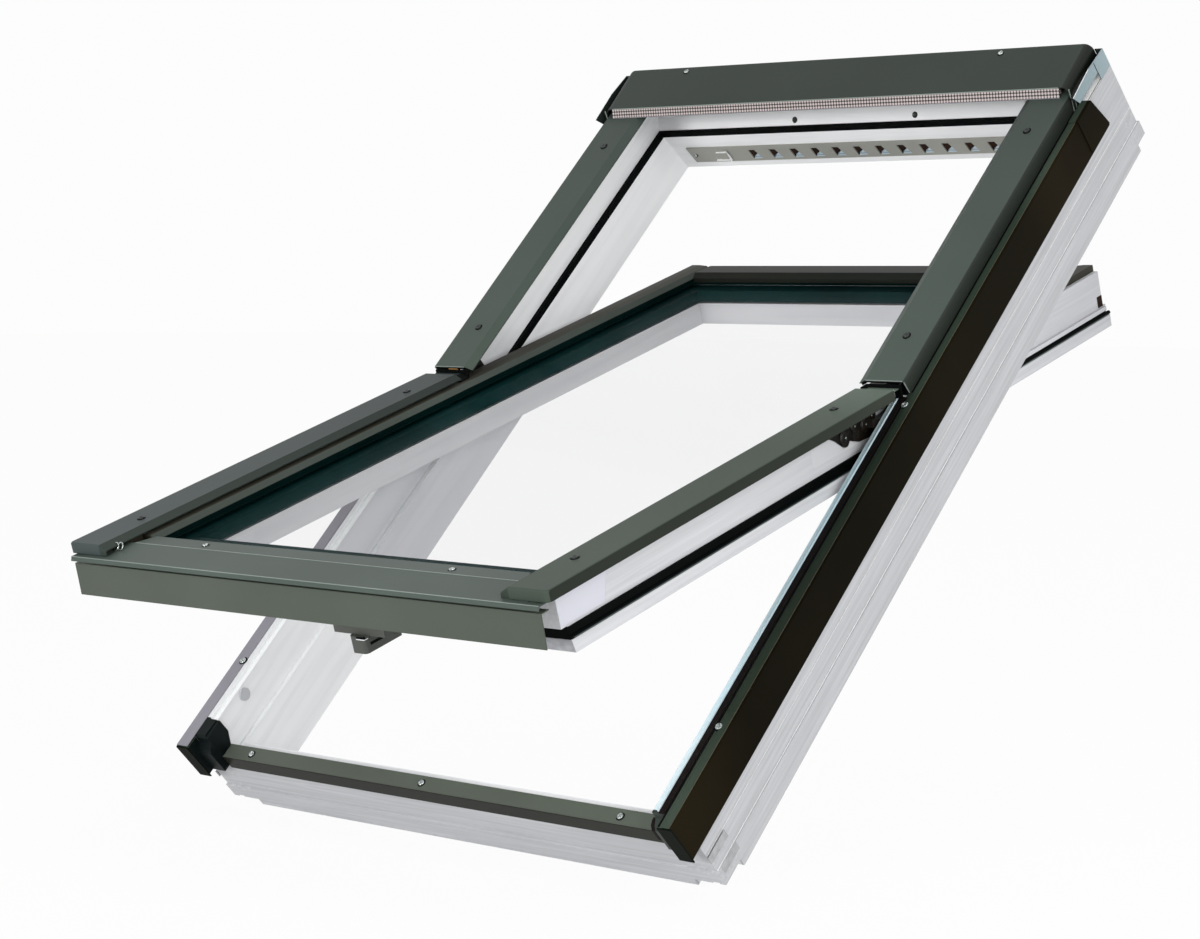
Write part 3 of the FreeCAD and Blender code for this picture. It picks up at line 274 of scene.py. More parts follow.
sheets = {
    # Upper covers: the darker outer flanges and the fade towards the upper end are painted shade
    "coverMetal": {"colour": "#444f48", "roughness": 0.45, "specular": 0.2, "tones": ("#3e4942", "#444f48"),
                   "zones": (((0.3737, -9.0, 9.0), ("#272c27", "#2c322d")),),
                   "along": ((0.52, "#ffffff"), (0.92, "#d8d8dc"))},
    # Right lower cover: the lighter flat top, the darker outer flange and the changes along the slope are
    # painted light and shade
    "leafMetal": {"colour": "#4b554d", "roughness": 0.45, "specular": 0.12, "tones": ("#444e46", "#49544c"),
                  "zones": (((0.3205, -9.0, 9.0), ("#556157", "#5c695e")),
                            ((0.3737, -9.0, 9.0), ("#31372f", "#363c34"))),
                  "along": ((0.0, "#c3c3c3"), (0.34, "#bdbfbb"), (0.42, "#d4d6d2"), (0.49, "#ffffff"))},
    # Left lower cover: a darker, bluer copy of the same sheet as painted shade, with its own painted zones and
    # slope fade
    "leafMetalLeftShaded": {"colour": "#48524d", "roughness": 0.45, "specular": 0.12, "tones": ("#39423c", "#3e4741"),
                      "zones": (((0.3205, -9.0, 9.0), ("#475150", "#4d5756")),
                                ((0.3737, -9.0, 9.0), ("#2b302a", "#2f352e"))),
                      "along": ((0.0, "#e2e4e4"), (0.16, "#cfd2d2"), (0.48, "#9aa2a2"))},
    "bottomMetal": {"colour": "#4c5650", "roughness": 0.45, "specular": 0.2, "tones": ("#444e48", "#4b5650")},
    "apronMetal": {"colour": "#50574f", "roughness": 0.45, "specular": 0.2, "tones": ("#484f46", "#4f564d")},
    # Hood: its darker side faces are painted shade
    "hoodMetal": {"colour": "#29302b", "roughness": 0.45, "specular": 0.2, "tones": ("#272f29", "#2b332e"),
                  "zones": (((0.3668, -9.0, 9.0), ("#10150f", "#181d1a")),)},
    "sillMetal": {"colour": "#525950", "roughness": 0.45, "specular": 0.2, "tones": ("#4e544b", "#575e54")},
    # Near black for painted shade on the lower face of the sill's lip
    "sillLipShade": {"colour": "#1e1f19", "roughness": 0.45, "specular": 0.08, "tones": ("#1b1c16", "#22241d")},
    # Brownish for a painted highlight along the cladding's fold
    "brownFoldHighlight": {"colour": "#4c473b", "roughness": 0.5, "specular": 0.1, "tones": ("#46402f", "#535146")},
    # Cladding: the brown-black side faces and the brighter band high up the slope are painted reflection;
    # darkest at its lower end
    "darkMetal": {"colour": "#29332b", "roughness": 0.5, "specular": 0.02, "tones": ("#3a453c", "#414c42"),
                  "zones": (((0.3876, -9.0, 9.0), ("#17130a", "#211b0f")),
                            ((9.0, -0.0148, 9.0), ("#0a0e0b", "#10140f"))),
                  "along": ((0.0, "#ffffff"), (0.12, "#b9bdb6"), (0.48, "#b2b9b2"), (0.53, "#cdd5d2"),
                            (0.76, "#c9d0cc"), (0.83, "#ffffff"), (0.90, "#d5d8d4"))},
    # Beads: the greener inner edge is a painted highlight on their ridge
    "beadMetal": {"colour": "#3f4640", "roughness": 0.5, "specular": 0.12, "tones": ("#3c433d", "#444b46"),
                  "zones": (((0.3045, -9.0, 9.0), ("#302f27", "#3a3830")),)},
    # Top bead: a darker copy of the bead metal as painted shade
    "beadTopShaded": {"colour": "#262923", "roughness": 0.5, "specular": 0.12, "tones": ("#181b16", "#1e201b")},
    "edgeMetal": {"colour": "#cfe6ee", "roughness": 0.4, "specular": 0.4, "tones": ("#c4e0ea", "#dbeef4")},
    "flashingSteel": {"colour": "#0d1412", "roughness": 0.4, "specular": 0.3, "tones": ("#1c2420", "#262f2a"),
                      "zones": (((0.38705, -9.0, 9.0), ("#84969c", "#a3b4b9")),)},
    "hingeSteel": {"colour": "#d3d4d8", "roughness": 0.45, "specular": 0.3, "tones": ("#d3d4d7", "#e2e3e5"),
                   "zones": (((0.3362, -9.0, 9.0), ("#15120f", "#231f1b")),)},
    "hingePlate": {"colour": "#151513", "roughness": 0.5, "specular": 0.3, "tones": ("#10100e", "#1d1c1a"),
                   "zones": (((9.0, -9.0, 0.66), ("#dddee1", "#e8e9eb")),)},
    "rubber": {"colour": "#050708", "roughness": 0.6, "specular": 0.03, "strength": 0.15, "peel": 500.0,
               "tones": ("#030505", "#070a0a")},
    "sealBrown": {"colour": "#1a1514", "roughness": 0.6, "specular": 0.05, "strength": 0.15, "peel": 500.0,
                  "tones": ("#100c0c", "#181313")},
    "paleEdge": {"colour": "#060909", "roughness": 0.5, "specular": 0.1, "tones": ("#050a0a", "#0c1515"),
                 "zones": (((9.0, -9.0, 0.032), ("#dfe1e4", "#ecedef")),)},
    "boltPlastic": {"colour": "#b9bbbe", "roughness": 0.5, "tones": ("#b0b2b5", "#c2c4c7")},
    "ventPlastic": {"colour": "#93938c", "roughness": 0.5, "specular": 0.3, "tones": ("#8a8b84", "#9b9b94")},
    "edgeSpacer": {"colour": "#042020", "roughness": 0.5, "specular": 0.05, "tones": ("#021c1c", "#042a2a")},
    "screwSteel": {"colour": "#a4adaa", "roughness": 0.25, "metallic": 0.8, "drift": 700.0,
                   "share": (0.35, 0.65), "tones": ("#4c5552", "#dfe6e4")},
    "screwDark": {"colour": "#2a2e2c", "roughness": 0.35, "metallic": 0.5, "tones": ("#222624", "#363a38")},
    "innerDark": {"colour": "#050606", "roughness": 0.7, "specular": 0.05, "tones": ("#030404", "#080a0a")},
    # Dark brown for painted shade behind the vents and in the notches
    "ventDark": {"colour": "#24140c", "roughness": 0.7, "specular": 0.1, "tones": ("#1a0f09", "#301a10")},
    "louvre": {"colour": "#a9bbc6", "roughness": 0.4, "tones": ("#9fb2be", "#b5c6d0")},
    "lugBlack": {"colour": "#17130f", "roughness": 0.3, "specular": 0.5, "tones": ("#120e0b", "#1f1a15")},
    # Pale grey for the mesh's lower rail, and for a painted reflection on the left cladding
    "railAndReflectionGrey": {"colour": "#8a8890", "roughness": 0.5, "specular": 0.2, "tones": ("#84828a", "#929098")},
    # Pale grey-green for painted highlights along folds, hooked ends and cut sheet edges
    "foldHighlight": {"colour": "#7d8882", "roughness": 0.4, "tones": ("#78837d", "#858f8a")},
    "handleMetal": {"colour": "#4d504b", "roughness": 0.4, "specular": 0.3, "tones": ("#464843", "#565c57")},
    "fingerTone": {"colour": "#a9aaac", "roughness": 0.6, "specular": 0.1, "drift": 120.0, "strength": 0.3,
                   "tones": ("#a2a3a5", "#b4b5b7")},
    "innerTeal": {"colour": "#061716", "roughness": 0.8, "specular": 0.0, "tones": ("#051413", "#081d1c")},
    "clipBrown": {"colour": "#8a6538", "roughness": 0.4, "specular": 0.3, "tones": ("#7d5a30", "#a57c4a")},
    "endTone": {"colour": "#9b9ca0", "roughness": 0.6, "specular": 0.1, "drift": 120.0, "strength": 0.3,
                "tones": ("#939498", "#a9aaae")},
    # Grey-green for a painted highlight along the seal's lower edge
    "sealHighlight": {"colour": "#3d4845", "roughness": 0.35, "specular": 0.3, "tones": ("#36413e", "#47524f")},
    "jointTone": {"colour": "#d6d7e0", "roughness": 0.5, "tones": ("#d0d1db", "#dcdde5")},
    # Near white for painted highlights, and for the left pale strip, painted lighter than the right one
    "paintedHighlight": {"colour": "#f6f8f8", "roughness": 0.35, "tones": ("#f0f3f4", "#fafbfb")},
}
finishes = {}
for key, settings in sheets.items():
    finishes[key] = sheetFinish(key, settings, frameTilt)
for key, tilt, lengthwise, group in (("frameTimber", frameTilt, True, "frame"),
                                     ("frameRailTimber", frameTilt, False, "frame"),
                                     ("leafTimber", leafTilt, True, "leaf"),
                                     ("leafRailTimber", leafTilt, False, "leaf")):
    finishes[key] = timber(key, tilt, lengthwise, group)

meshFinish = {
    "colour": "#5a5654", "roughness": 0.6, "hole": "#b9adab", "wire": "#1d1817", "across": 4.4, "up": 3.5,
    "share": (0.32, 0.46), "strength": 0.3, "depth": 0.0004, "edge": 0.0004,
}


# Fine ventilation mesh: rows of pale dots between dark wires
def ventMesh(name):
    material = startFinish(name, meshFinish)
    nodes, links = material.node_tree.nodes, material.node_tree.links
    space = pieceSpace(material, frameTilt, (1000.0 / meshFinish["across"], 0.0, 1000.0 / meshFinish["up"]))
    dots = nodes.new("ShaderNodeTexVoronoi")
    dots.inputs["Scale"].default_value = 1.0
    dots.inputs["Randomness"].default_value = 0.0
    links.new(space, dots.inputs["Vector"])
    tones = (meshFinish["hole"], meshFinish["wire"])
    feed(material, tonesOn(material, dots.outputs["Distance"], meshFinish["share"], tones), "Base Color")
    relief(material, dots.outputs["Distance"], *(meshFinish[key] for key in ("strength", "depth", "edge")))
    return material


finishes["ventMesh"] = ventMesh("ventMesh")

glassFinish = {
    "colour": "#0b2626", "roughness": 0.02, "specular": 0.4, "alpha": 0.026, "wave": 6.0, "sheen": (0.01, 0.04),
}


# Clear panes with the faintest unevenness
def paneGlass(name):
    material = startFinish(name, glassFinish)
    shader = material.node_tree.nodes["Principled BSDF"]
    shader.inputs["Alpha"].default_value = glassFinish["alpha"]
    wave = noiseOn(material, pieceSpace(material, leafTilt, (1, 1, 1)), glassFinish["wave"], 1.0)
    feed(material, spanOn(material, wave, *glassFinish["sheen"]), "Roughness")
    return material


finishes["paneGlass"] = paneGlass("paneGlass")
print("made", len(finishes), "finishes")

# Which finish each node wears, by its own name or without its side
# Below, the left pale strip wears painted highlight; the left lower cover and the top bead wear shaded copies
worn = {
    "frame_side": "frameTimber", "frame_sill": "frameRailTimber", "frame_head": "frameRailTimber",
    "frame_seal": "rubber", "edge_strip_left": "paintedHighlight", "edge_strip_right": "edgeMetal",
    "side_cladding": "darkMetal", "cladding_cap": "darkMetal", "edge_seal_left": "paleEdge",
    "edge_seal_right": "rubber", "sill_cladding": "sillMetal", "upper_cover": "coverMetal",
    "head_cover": "hoodMetal", "head_mesh": "ventMesh", "head_flashing": "flashingSteel",
    "vent_strip": "ventPlastic", "vent_slider": "ventPlastic", "bolt_bush": "boltPlastic",
    "hinge_frame": "hingePlate", "leaf_side": "leafTimber", "leaf_seal": "rubber",
    "leaf_bottom_rail": "leafRailTimber", "leaf_top_rail": "leafRailTimber",
    "inner_pane": "paneGlass", "outer_pane": "paneGlass", "pane_spacer": "edgeSpacer",
    "glazing_bead": "beadMetal", "glazing_bead_top": "beadTopShaded", "leaf_batten": "leafTimber",
    "lower_cover_left": "leafMetalLeftShaded", "lower_cover_right": "leafMetal",
    "bottom_cover": "bottomMetal", "bottom_apron": "apronMetal", "handle": "handleMetal",
    "hinge_leaf": "hingeSteel",
}
for node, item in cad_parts.items():
    finish = worn[node] if node in worn else worn[node.rsplit("_", 1)[0]]
    item.data.materials.clear()
    item.data.materials.append(finishes[finish])
print("dressed the nodes")


# A finished bmesh becomes a piece in its place on one body
def keep(name, shape, body, finish, smooth=False):
    bmesh.ops.transform(shape, matrix=places[body], verts=shape.verts)
    for face in shape.faces:
        face.smooth = smooth
    data = bpy.data.meshes.new(name)
    shape.to_mesh(data)
    shape.free()
    piece = bpy.data.objects.new(name, data)
    bpy.context.scene.collection.objects.link(piece)
    data.materials.append(finishes[finish])
    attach(piece, body)
    return piece


# One bmesh turned and set into another
def joinInto(shape, made, matrix):
    bmesh.ops.transform(made, matrix=matrix, verts=made.verts)
    data = bpy.data.meshes.new("made")
    made.to_mesh(data)
    made.free()
    shape.from_mesh(data)
    bpy.data.meshes.remove(data)


def topFace(shape):
    return max(shape.faces, key=lambda f: f.calc_center_median().z)


def about(axis, degrees):
    return Matrix.Rotation(math.radians(degrees), 4, axis)


screwHead = {
    "radius": 4.2, "height": 2.0, "taper": 0.9, "rim": 0.8, "recess": 0.9, "wall": 0.32, "segments": 20,
    "ringFoot": 1.32, "ringTop": 1.25, "ringHeight": 0.4,
}


# A pan head with a sunken middle, standing on the given point and tilted about X
def addScrew(shape, at, size, tilt):
    radius, height = screwHead["radius"] * size, screwHead["height"] * size
    head = bmesh.new()
    bmesh.ops.create_cone(head, cap_ends=True, segments=screwHead["segments"], radius1=radius,
                          radius2=radius * screwHead["taper"], depth=height)
    bmesh.ops.translate(head, vec=(0, 0, height / 2), verts=head.verts)
    bmesh.ops.bevel(head, geom=list(topFace(head).edges), offset=screwHead["rim"] * size, segments=3,
                    profile=0.5, affect="EDGES", material=-1)
    cap = topFace(head)
    bmesh.ops.inset_region(head, faces=[cap], thickness=radius * screwHead["wall"], depth=0)
    bmesh.ops.translate(head, vec=(0, 0, -screwHead["recess"] * size), verts=cap.verts)
    joinInto(shape, head, Matrix.Translation(at) @ about("X", tilt))


# A dark ring of painted shade round each screw, where its countersink sits
def addShadeRing(shape, at, size, tilt):
    radius = screwHead["radius"] * size
    made = bmesh.ops.create_cone(shape, cap_ends=True, segments=screwHead["segments"],
                                 radius1=radius * screwHead["ringFoot"], radius2=radius * screwHead["ringTop"],
                                 depth=screwHead["ringHeight"])["verts"]
    bmesh.ops.transform(shape, matrix=Matrix.Translation(at) @ about("X", tilt), verts=made)


screws = {
    "cladding": {"body": "frame", "finish": "screwSteel", "size": 1.1, "tilt": 0,
                 "at": ((376, 120, 117), (376, 592, 117), (-376, 120, 118.6), (-376, 592, 118.6))},
    "sill": {"body": "frame", "finish": "screwSteel", "size": 1.0, "tilt": 0,
             "at": ((-302, 11, 83.7), (-14, 11, 83.7), (285, 11, 83.7))},
    "upper_cover": {"body": "frame", "finish": "screwDark", "size": 1.0, "tilt": 0,
                    "at": ((343, 682, 138), (343, 1034, 138), (-343, 682, 138), (-343, 1034, 138))},
    "lower_cover": {"body": "leaf", "finish": "screwDark", "size": 1.0, "tilt": 0,
                    "at": ((340, 74, 136), (340, 534, 136), (-340, 74, 136), (-340, 534, 136))},
    "bottom_cover": {"body": "leaf", "finish": "screwSteel", "size": 0.9, "tilt": 0,
                     "at": ((-194, 41, 124.9), (194, 41, 124.9))},
    "hood": {"body": "frame", "finish": "screwSteel", "size": 0.9, "tilt": 0,
             "at": ((-266, 1168, 152.3), (248, 1168, 152.3))},
    "head": {"body": "frame", "finish": "screwDark", "size": 0.8, "tilt": 48.4,
             "at": ((-112, 1151.4, 71), (86, 1151.4, 71))},
    "vent": {"body": "frame", "finish": "screwSteel", "size": 0.8, "tilt": 80.0,
             "at": ((-313, 1146.1, 18.4), (313, 1146.1, 18.4))},
}
for group, settings in screws.items():
    shape = bmesh.new()
    shadeRings = bmesh.new()
    for at in settings["at"]:
        addScrew(shape, at, settings["size"], settings["tilt"])
        addShadeRing(shadeRings, at, settings["size"], settings["tilt"])
    keep(group + "_screws", shape, settings["body"], settings["finish"], True)
    keep(group + "_screw_shade_rings", shadeRings, settings["body"], "innerDark")
print("set the screws")


# A flat outline moved along one way into a solid
def addPrism(shape, corners, move):
    ring = [shape.verts.new(corner) for corner in corners]
    made = bmesh.ops.extrude_face_region(shape, geom=[shape.faces.new(ring)])
    far = [v for v in made["geom"] if isinstance(v, bmesh.types.BMVert)]
    bmesh.ops.translate(shape, vec=move, verts=far)
    return ring


# The inclined room face of the head: where it stands at one level
headFace = {"up": 1153.0, "lean": 11.5 / 67.0, "foot": 10.0}


def headLine(level):
    return headFace["up"] - headFace["lean"] * (level + headFace["foot"])


def addPatch(shape, outline, front, depth):
    return addPrism(shape, [(x, headLine(z) - front, z) for x, z in outline], (0, depth, 0))


# In each punched vent a louvre bent out of it, and behind it a dark patch of painted shade
vents = {
    "first": -215.0, "pitch": 36.0, "count": 14, "footWidth": 16.0, "topWidth": 11.0, "low": 7.0, "high": 25.0,
    "shadePatch": 0.3, "inset": 2.0, "rise": 11.0, "heel": (6.0, 6.0), "front": 2.2, "thick": 0.4, "bend": 1.4,
}
shadePatch = bmesh.new()
louvres = bmesh.new()
low, high, inset = vents["low"], vents["high"], vents["inset"]
for index in range(vents["count"]):
    left = vents["first"] + index * vents["pitch"]
    foot, top = left + vents["footWidth"], left + vents["topWidth"]
    addPatch(shadePatch, [(left, low), (foot, low), (top, high), (left, high)], vents["shadePatch"], vents["shadePatch"])
    heel = (left + vents["heel"][0], low + vents["heel"][1])
    flap = addPatch(louvres, [(left + inset, low), (foot, low), (foot - inset, low + vents["rise"]), heel],
                    vents["front"], vents["thick"])
    flap[2].co.y += vents["bend"]
for shape in (shadePatch, louvres):
    bmesh.ops.recalc_face_normals(shape, faces=shape.faces)
keep("vent_shade_patches", shadePatch, "frame", "ventDark")
keep("vent_louvres", louvres, "frame", "louvre")
print("filled the vents")


# A box between two corners with its edges softened
def addBar(shape, low, high, soft):
    made = bmesh.ops.create_cube(shape, size=1.0)["verts"]
    low, high = Vector(low), Vector(high)
    bmesh.ops.scale(shape, vec=high - low, verts=made)
    bmesh.ops.translate(shape, vec=(low + high) / 2, verts=made)
    edges = list({e for v in made for e in v.link_edges})
    bmesh.ops.bevel(shape, geom=edges, offset=soft, segments=2, profile=0.5, affect="EDGES", material=-1)


# One piece from its settings, on both hands where it is mirrored:
# sheets run across, each an outline up and out between two sides,
# runs go up the slope, each an outline across and out between two heights,
# plates stand out, each an outline across and up, a level and a thickness,
# and bars are two corners and how far their edges are softened
def build(name, settings):
    shape = bmesh.new()
    hands = (1, -1) if settings.get("mirrored") else (1,)
    for outline, left, right in settings.get("sheets", ()):
        for hand in hands:
            addPrism(shape, [(hand * left, y, z) for y, z in outline], (hand * (right - left), 0, 0))
    for outline, start, end in settings.get("runs", ()):
        for hand in hands:
            addPrism(shape, [(hand * x, start, z) for x, z in outline], (0, end - start, 0))
    for outline, level, thick in settings.get("plates", ()):
        for hand in hands:
            addPrism(shape, [(hand * x, y, level) for x, y in outline], (0, 0, thick))
    if shape.faces:
        bmesh.ops.recalc_face_normals(shape, faces=shape.faces)
    for low, high, soft in settings.get("bars", ()):
        addBar(shape, low, high, soft)
        if len(hands) > 1:
            addBar(shape, (-high[0], low[1], low[2]), (-low[0], high[1], high[2]), soft)
    return keep(name, shape, settings["body"], settings["finish"])


# The mesh leans out below the hood's front edge, with a pale lower rail, between the hood's hooked ends;
# the front edge and the hooked ends carry painted highlights
hoodPieces = {
    "mesh_front": {"body": "frame", "finish": "ventMesh", "slot": "mesh_grey",
                   "sheets": ((((1099.4, 147.9), (1100.0, 147.9), (1093.2, 138.5), (1092.6, 138.5)),
                               -363.0, 363.0),)},
    "mesh_rail": {"body": "frame", "finish": "railAndReflectionGrey", "slot": "mesh_grey",
                  "bars": (((-363.0, 1092.3, 137.6), (363.0, 1093.5, 138.5), 0.2),)},
    "hood_edge_highlight": {"body": "frame", "finish": "foldHighlight", "slot": "head_metal",
                  "bars": (((-362.0, 1098.8, 148.0), (362.0, 1100.0, 149.1), 0.3),)},
    "hood_hooks": {"body": "frame", "finish": "foldHighlight", "slot": "head_metal", "mirrored": True,
                   "sheets": ((((1098.1, 146.0), (1099.3, 146.0), (1090.1, 119.0), (1090.9, 115.5),
                                (1095.1, 114.6), (1098.6, 117.5), (1100.6, 126.0), (1099.6, 126.2),
                                (1097.7, 118.4), (1094.8, 115.9), (1092.0, 116.5), (1091.3, 119.0)),
                               375.6, 377.0),)},
}
for name, settings in hoodPieces.items():
    build(name, settings)

# A painted highlight round the slider's rim, open on its far side
slider = {"far": -270.5, "near": -251.5, "low": 7.0, "high": 25.0, "front": 4.0, "rim": 1.1, "foot": 9.0,
          "half": 1.5, "soft": 0.2}
bars = []
for left, low, high in ((slider["far"], slider["high"] - slider["rim"], slider["high"]),
                        (slider["far"] - slider["foot"], slider["low"], slider["low"] + slider["rim"]),
                        (slider["near"] - slider["rim"], slider["low"], slider["high"])):
    out = headLine((low + high) / 2) - slider["front"]
    front, back = out - slider["half"], out + slider["half"]
    bars.append(((left, front, low), (slider["near"], back, high), slider["soft"]))
build("slider_rim_highlight", {"body": "frame", "finish": "paintedHighlight", "slot": "vent_plastic", "bars": bars})
print("added the mesh, the hood's edge and the slider's rim")

# Where the covers meet: dark sheets of painted shade inside the cover ends, mats, bent dark strips of painted
# shade that carry on the bevel beside each tongue, the brown clip in the left gap, silver tabs, painted
# highlights on the cut sheet edges and the bottom cover's folds, and painted highlight lines along the side
# members' outer faces
junctionPieces = {
    "frame_cover_shade": {"body": "frame", "finish": "innerDark", "slot": "black_plastic", "mirrored": True,
                      "runs": ((((311.6, 127.2), (321.4, 132.4), (373.2, 132.4), (373.2, 136.7), (321.0, 136.7),
                                 (311.6, 131.3)), 611.0, 613.0),)},
    "leaf_cover_shade": {"body": "leaf", "finish": "innerDark", "slot": "black_plastic", "mirrored": True,
                     "runs": ((((314.5, 113.0), (347.0, 113.0), (347.0, 119.6), (371.0, 119.6), (371.0, 135.2),
                                (322.0, 135.2), (314.5, 131.2)), 622.0, 625.0),)},
    "hinge_mats": {"body": "frame", "finish": "innerDark", "slot": "black_plastic", "mirrored": True,
                   "bars": (((353.6, 609.0, 115.5), (371.0, 630.0, 116.3), 0.2),)},
    "tongue_shade_strips": {"body": "leaf", "finish": "innerDark", "slot": "black_plastic", "mirrored": True,
                      "runs": ((((327, 131.4), (320.5, 131.4), (311, 126.8), (311, 125.8), (321, 130.3),
                                 (327, 130.3)), 603.9, 621.0),)},
    "cover_clip": {"body": "frame", "finish": "clipBrown", "slot": "hinge_steel",
                   "bars": (((-350, 608.4, 132.6), (-334, 609.3, 135.2), 0.3),)},
    "cover_edge_highlights": {"body": "frame", "finish": "foldHighlight", "slot": "cover_metal", "mirrored": True,
                    "bars": (((321, 609.2, 136.8), (373, 610.1, 138.1), 0.2),
                             ((373.8, 609.2, 119), (375.1, 610.1, 136), 0.2))},
    "cover_tabs": {"body": "leaf", "finish": "screwSteel", "slot": "hinge_steel", "mirrored": True,
                   "bars": (((365, 604.9, 127), (374.2, 606.4, 135.6), 0.5),)},
    "bottom_fold_highlights": {"body": "leaf", "finish": "foldHighlight", "slot": "cover_metal",
                     "bars": (((-303, 28.7, 125.1), (303, 30.1, 125.75), 0.25),
                              ((-365.8, -17.5, 121.6), (365.8, -16.3, 122.5), 0.3))},
    "side_highlight_lines": {"body": "frame", "finish": "paintedHighlight", "slot": "white_timber", "mirrored": True,
                   "bars": (((387.7, 3, 21.0), (388.5, 1177, 21.9), 0.15),
                            ((387.7, 3, 46.4), (388.05, 1177, 47.2), 0.1))},
}
for name, settings in junctionPieces.items():
    build(name, settings)
print("added the painted shade and highlights where the covers meet")

# Dark gaps beside the cladding, a brownish painted highlight on its fold, a painted highlight on the ledge
# beside the reveal, the toned faces of the fingers and painted shade on the face of the sill's lip
claddingPieces = {
    "cladding_gaps": {"body": "frame", "finish": "innerDark", "slot": "dark_cladding", "mirrored": True,
                      "bars": (((374.7, 612, 116.9), (377.2, 1125, 117.5), 0.1),
                               ((371.1, -14, 116.9), (373.6, 604, 117.4), 0.1))},
    "cladding_fold_highlights": {"body": "frame", "finish": "brownFoldHighlight", "slot": "dark_cladding", "mirrored": True,
                       "bars": (((387.0, -14.6, 117.8), (387.9, 1150, 118.3), 0.2),)},
    "ledge_highlights": {"body": "frame", "finish": "paintedHighlight", "slot": "white_timber", "mirrored": True,
                     "bars": (((346.8, 3, 66.0), (353.4, 604, 66.5), 0.1),)},
    "finger_faces": {"body": "frame", "finish": "fingerTone", "slot": "white_timber", "mirrored": True,
                     "bars": (((389.9, 0.6, 36.2), (390.2, 39.0, 46.3), 0),
                              ((389.9, 8.0, 10.6), (390.2, 42.0, 20.6), 0))},
    "sill_lip_shade": {"body": "frame", "finish": "sillLipShade", "slot": "cover_metal",
                      "bars": (((-347.0, 0.55, 62.4), (347.0, 1.2, 83.2), 0.2),)},
}
for name, settings in claddingPieces.items():
    build(name, settings)

# The right hand seal ends in a slim wedge and a plate, its pale strip runs on to the sill, and the
# battens have olive faces at their lower ends
rightSeal = {"body": "frame", "finish": "sealBrown", "slot": "seal_rubber",
             "sheets": ((((-3, 66), (-8, 82), (-8, 98), (-5, 103), (0, 105.5), (4, 105.5), (4, 66)),
                         348.6, 353.4),),
             "bars": (((362.7, 2.5, 115.6), (370.9, 604, 118), 0.4),)}
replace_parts(build("seal_right_shown", rightSeal), "edge_seal_right")
edgePieces = {
    "seal_end_plate": {"body": "frame", "finish": "hoodMetal", "slot": "seal_rubber",
                       "sheets": ((((-8, 66), (-8, 98), (-5, 103), (0, 106), (2.3, 109), (2.3, 117), (6, 117),
                                    (6, 66)), 353.6, 371),)},
    "strip_run_on": {"body": "frame", "finish": "edgeMetal", "slot": "strip_metal",
                     "bars": (((353.6, 4, 115.6), (362.4, 30.4, 116.7), 0.1),
                              ((361.3, 4, 116.7), (362.5, 30.4, 119.6), 0.1))},
    "batten_faces": {"body": "leaf", "finish": "beadMetal", "slot": "cover_metal", "mirrored": True,
                     "bars": (((319.9, -8, 117.6), (320.7, 58, 134.5), 0.1),)},
}
for name, settings in edgePieces.items():
    build(name, settings)

# Gaskets at the foot of the beads, dark tape along the panes' sides and the mitred lower ends of the beads
glazingPieces = {
    "bead_gaskets": {"body": "leaf", "finish": "innerTeal", "slot": "black_plastic", "mirrored": True,
                     "bars": (((292.7, 58.0, 112.02), (297.0, 1082.0, 113.3), 0.2),
                              ((0, 1075.1, 112.02), (297.0, 1082.0, 113.3), 0.2),
                              ((296.6, 58.0, 112.02), (296.95, 1082.0, 118.6), 0))},
    "pane_tapes": {"body": "leaf", "finish": "innerTeal", "slot": "black_plastic", "mirrored": True,
                   "bars": (((302.15, 58, 88.2), (303.8, 1086, 111.9), 0.1),)},
    "corner_fillers": {"body": "leaf", "finish": "beadMetal", "slot": "bead_metal", "mirrored": True,
                       "plates": ((((290.5, 30), (308, 30), (322, 57), (290.5, 57)), 118.4, 0.8),)},
}
for name, settings in glazingPieces.items():
    build(name, settings)

# Flashing: a painted highlight on its upper edge, and the lap line across it
flashingPieces = {
    "flashing_edge_highlights": {"body": "frame", "finish": "paintedHighlight", "slot": "hinge_steel", "mirrored": True,
                       "sheets": ((((1085.2, 142.7), (1134.8, 145.7), (1134.8, 146.1), (1085.2, 143.1)),
                                   387.1, 387.95),)},
    "flashing_laps": {"body": "frame", "finish": "screwDark", "slot": "hinge_steel", "mirrored": True,
                      "bars": (((387.6, 1148.6, 128.2), (387.95, 1149.8, 143.6), 0),)},
}
for name, settings in flashingPieces.items():
    build(name, settings)
print("added the edges, gaskets and the right hand seal")

# A grey band of painted reflection on the left cladding, and on the leaf: painted shade for notches at its
# upper end, the cooler bottom rail joint, a painted highlight on the seal's lower edge and greyer leg end grain
# by the apron
sidePieces = {
    "cladding_reflection": {"body": "frame", "finish": "railAndReflectionGrey", "slot": "dark_cladding",
                      "bars": (((-390.4, -14.0, 118.0), (-371.3, 606.0, 118.7), 0.2),)},
    "end_notch_shade": {"body": "leaf", "finish": "ventDark", "slot": "black_plastic", "mirrored": True,
                    "bars": (((331.0, 1113.0, 71.5), (336.3, 1124.8, 86.0), 0.1),)},
    "joint_faces": {"body": "leaf", "finish": "jointTone", "slot": "white_timber", "mirrored": True,
                    "sheets": ((((37.2, 73.0), (108.0, 73.0), (124.0, 117.2), (37.2, 117.2)), 336.2, 335.9),)},
    "seal_highlights": {"body": "leaf", "finish": "sealHighlight", "slot": "seal_rubber", "mirrored": True,
                   "bars": (((338.7, 48, 58.1), (340.9, 1124, 60.2), 0.5),)},
    "leg_ends": {"body": "leaf", "finish": "endTone", "slot": "white_timber", "mirrored": True,
                 "sheets": ((((46.7, 43.3), (46.95, 43.3), (44.15, 57.8), (43.85, 57.8)), 300, 340.6),)},
}
for name, settings in sidePieces.items():
    build(name, settings)

